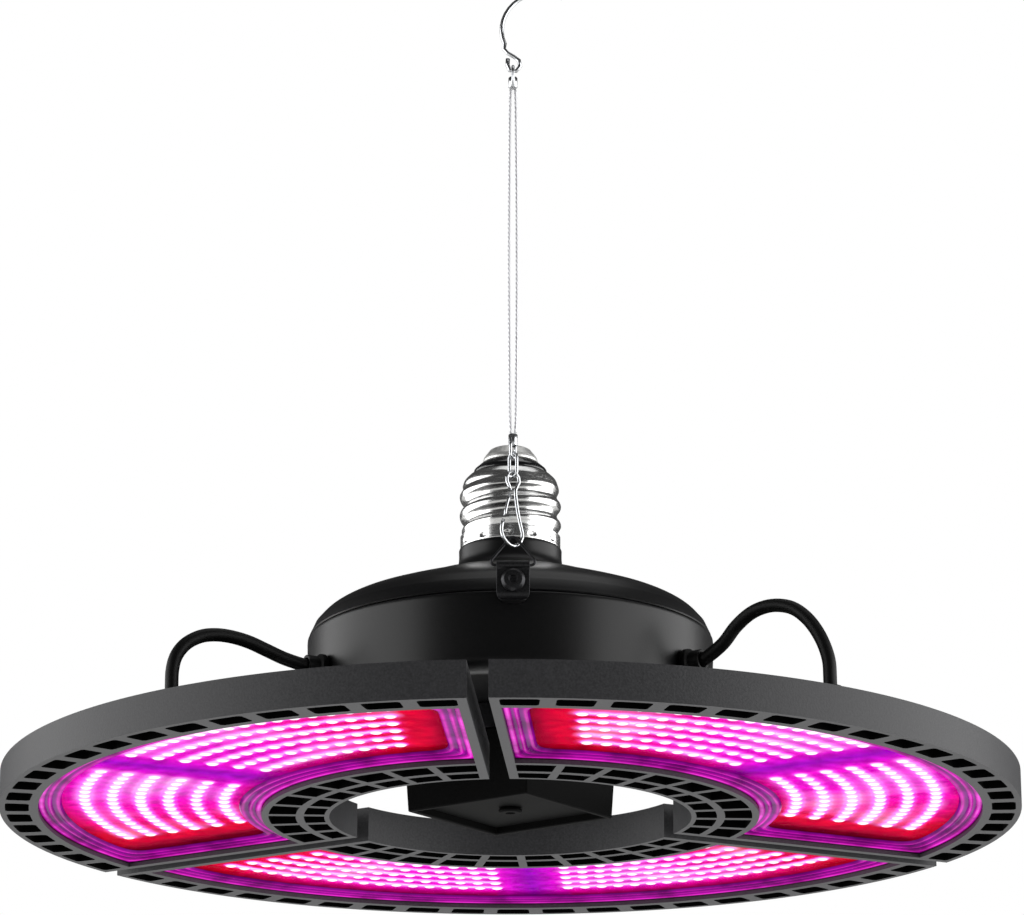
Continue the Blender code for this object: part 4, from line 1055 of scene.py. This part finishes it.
def add_leads(finish):
    """The three leads, each swept along its route from the housing out to its panel's gland."""
    for number in PANELS:
        ends = [(51.5, LEAD_EXIT), (54.8, LEAD_EXIT), (GROMMET_END, LEAD_EXIT)]
        stop = [(GLAND_AT, GLAND_TOP + 2), (GLAND_AT, GLAND_TOP - 2), (GLAND_AT, GLAND_TOP - 6)]
        points = [(r * MM, 0, z * MM) for r, z in ends + list(LEAD_ROUTES[number - 1]) + stop]
        route = smooth_route(points, 1.0 * MM)
        place = panel_place(number)
        piece = add_mesh(f"rubber_lead_{number}", sweep(route, LEAD_R, 20), finish, 50.0, place)
        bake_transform(piece)
        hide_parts(f"lead_{number}")


# ---------------------------------------------------------------- CAD nodes that keep their own shape

def dress(node, finish, edge_mm=0.0):
    """Gives a CAD node its finish and, where its shape needs it, rounded edges."""
    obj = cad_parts[node]
    obj.data.materials.clear()
    obj.data.materials.append(finish)
    weld = obj.modifiers.new("weld", "WELD")
    weld.merge_threshold = 1e-6
    if edge_mm:
        flat = obj.modifiers.new("flat", "DECIMATE")
        flat.decimate_type = "DISSOLVE"
        flat.angle_limit = math.radians(1.0)
        round_edges(obj, edge_mm, 2, 40.0)
        normals = obj.modifiers.new("normals", "WEIGHTED_NORMAL")
        normals.weight = 100
    obj.data.shade_smooth()
    obj.data.set_sharp_from_angle(angle=math.radians(35.0))


def dress_cad_nodes(finish):
    for number in PANELS:
        dress(f"heat_sink_{number}", finish["anodised"], 0.25)
        dress(f"hinge_bracket_{number}", finish["anodised"], 0.35)
        dress(f"hinge_pin_{number}", finish["wire"], 0.2)
        dress(f"lead_gland_{number}", finish["abs"], 0.15)
        dress(f"lead_grommet_{number}", finish["rubber"], 0.15)
    dress("hinge_spider", finish["anodised"], 0.4)
    dress("hub_screw", finish["hub"], 0.12)
    dress("driver_board", finish["mask"])
    dress("transformer", finish["tape"], 0.5)
    dress("bulk_capacitor", finish["abs"], 0.3)
    dress("filter_choke", finish["tape"], 0.5)
    dress("hanger_tab", finish["blackened"], 0.12)
    dress("tab_screw", finish["blackened"], 0.12)
    dress("hanger_ring", finish["blackened"])
    for node in ("snap_hook", "snap_gate", "oval_link", "lower_crimp", "upper_ferrule", "top_hook"):
        dress(node, finish["wire"])


HUB_HALF = 18.7 * MM
HUB_DRAFT = 0.9 * MM
HUB_LOW = 0.9 * MM
HUB_TOP = 19.0 * MM
HUB_RIM = 1.3 * MM
HUB_RECESS = 1.8 * MM
HUB_COVER = 2.2 * MM
HUB_TURN = Matrix.Rotation(math.radians(-33.0), 4, "Z")


def square_loop(bm, half, z):
    return [bm.verts.new((x * half, y * half, z)) for x, y in ((-1, -1), (1, -1), (1, 1), (-1, 1))]


def add_hub(finish):
    """The drafted square block under the hinge carrier, and the plain cover let into it."""
    place = STANDING @ HUB_TURN
    pocket = HUB_HALF - HUB_RIM
    floor = HUB_LOW + HUB_RECESS + HUB_COVER + 0.2 * MM
    bm = bmesh.new()
    skin(bm, [square_loop(bm, HUB_HALF + HUB_DRAFT, HUB_TOP), square_loop(bm, HUB_HALF, HUB_LOW),
              square_loop(bm, pocket, HUB_LOW), square_loop(bm, pocket, floor)], ends=True)
    block = add_mesh("square_hub", bm, finish, 30.0, place)
    round_edges(block, 0.35, 3, 30.0)
    stand_for(block, "housing", "hub_block")
    half = pocket - 0.25 * MM
    low = HUB_LOW + HUB_RECESS
    bm = bmesh.new()
    skin(bm, [square_loop(bm, half, low + HUB_COVER), square_loop(bm, half, low)], ends=True)
    cover = add_mesh("hub_lid", bm, finish, 30.0, place)
    round_edges(cover, 0.3, 3, 30.0)
    stand_for(cover, "housing", "hub_cover")


# ---------------------------------------------------------------- tether

TETHER_TURN = Matrix.Rotation(math.radians(4.0), 4, "Z")
TETHER_OUT = 54.0 * MM  # from the lamp's axis
STRAND_R = 0.35 * MM
STRAND_LOW = 86.5  # this and the next three in millimetres
STRAND_HIGH = 178.7
STRAND_SPLIT = 0.55  # of each strand from the middle, at the crimps
STRAND_BOW = 1.0  # halfway up


def add_tether(finish):
    """The two strands of the steel tether between its crimps."""
    for side, number in ((-1, 1), (1, 2)):
        near = side * STRAND_SPLIT
        bow = side * STRAND_BOW
        middle = (STRAND_LOW + STRAND_HIGH) / 2
        points = [(near, STRAND_LOW), ((near + bow) / 2, STRAND_LOW + 8), (bow, middle),
                  ((near + bow) / 2, STRAND_HIGH - 8), (near, STRAND_HIGH)]
        route = smooth_route([(x * MM, 0, z * MM) for x, z in points], 0.9 * MM)
        world = TETHER_TURN @ Matrix.Translation((0, -TETHER_OUT, BOTTOM))
        path = [world @ p for p in route]
        piece = add_mesh(f"steel_strand_{number}", sweep(path, STRAND_R, 12), finish, 50.0)
        stand_for(piece, "snap_hook", f"tether_strand_{number}")


# ---------------------------------------------------------------- everything

finishes = {
    "abs": moulded_abs(),
    "panel": brushed_pc(),
    "nickel": nickel_plate(),
    "contact": tinned_contact(),
    "hub": matt_abs(),
    "wire": zinc_wire(),
    "strand": laid_steel(),
    "blackened": blackened_steel(),
    "anodised": black_anodised(),
    "rubber": lead_rubber(),
    "vitrite": vitrite(),
    "mask": solder_mask(),
    "tape": yellow_tape(),
}
add_camera()
add_tether(finishes["strand"])
add_studio()
add_panel_frames(finishes["panel"], painted_vent_shade())
add_boards(lit_mask())
add_leds(lit_chip())
add_lenses(clear_pc(), lens_border())
add_housing(finishes["abs"])
add_screw_shell(finishes["nickel"])
add_cap_tip(finishes["vitrite"], finishes["contact"])
add_leads(finishes["rubber"])
add_hub(finishes["hub"])
dress_cad_nodes(finishes)
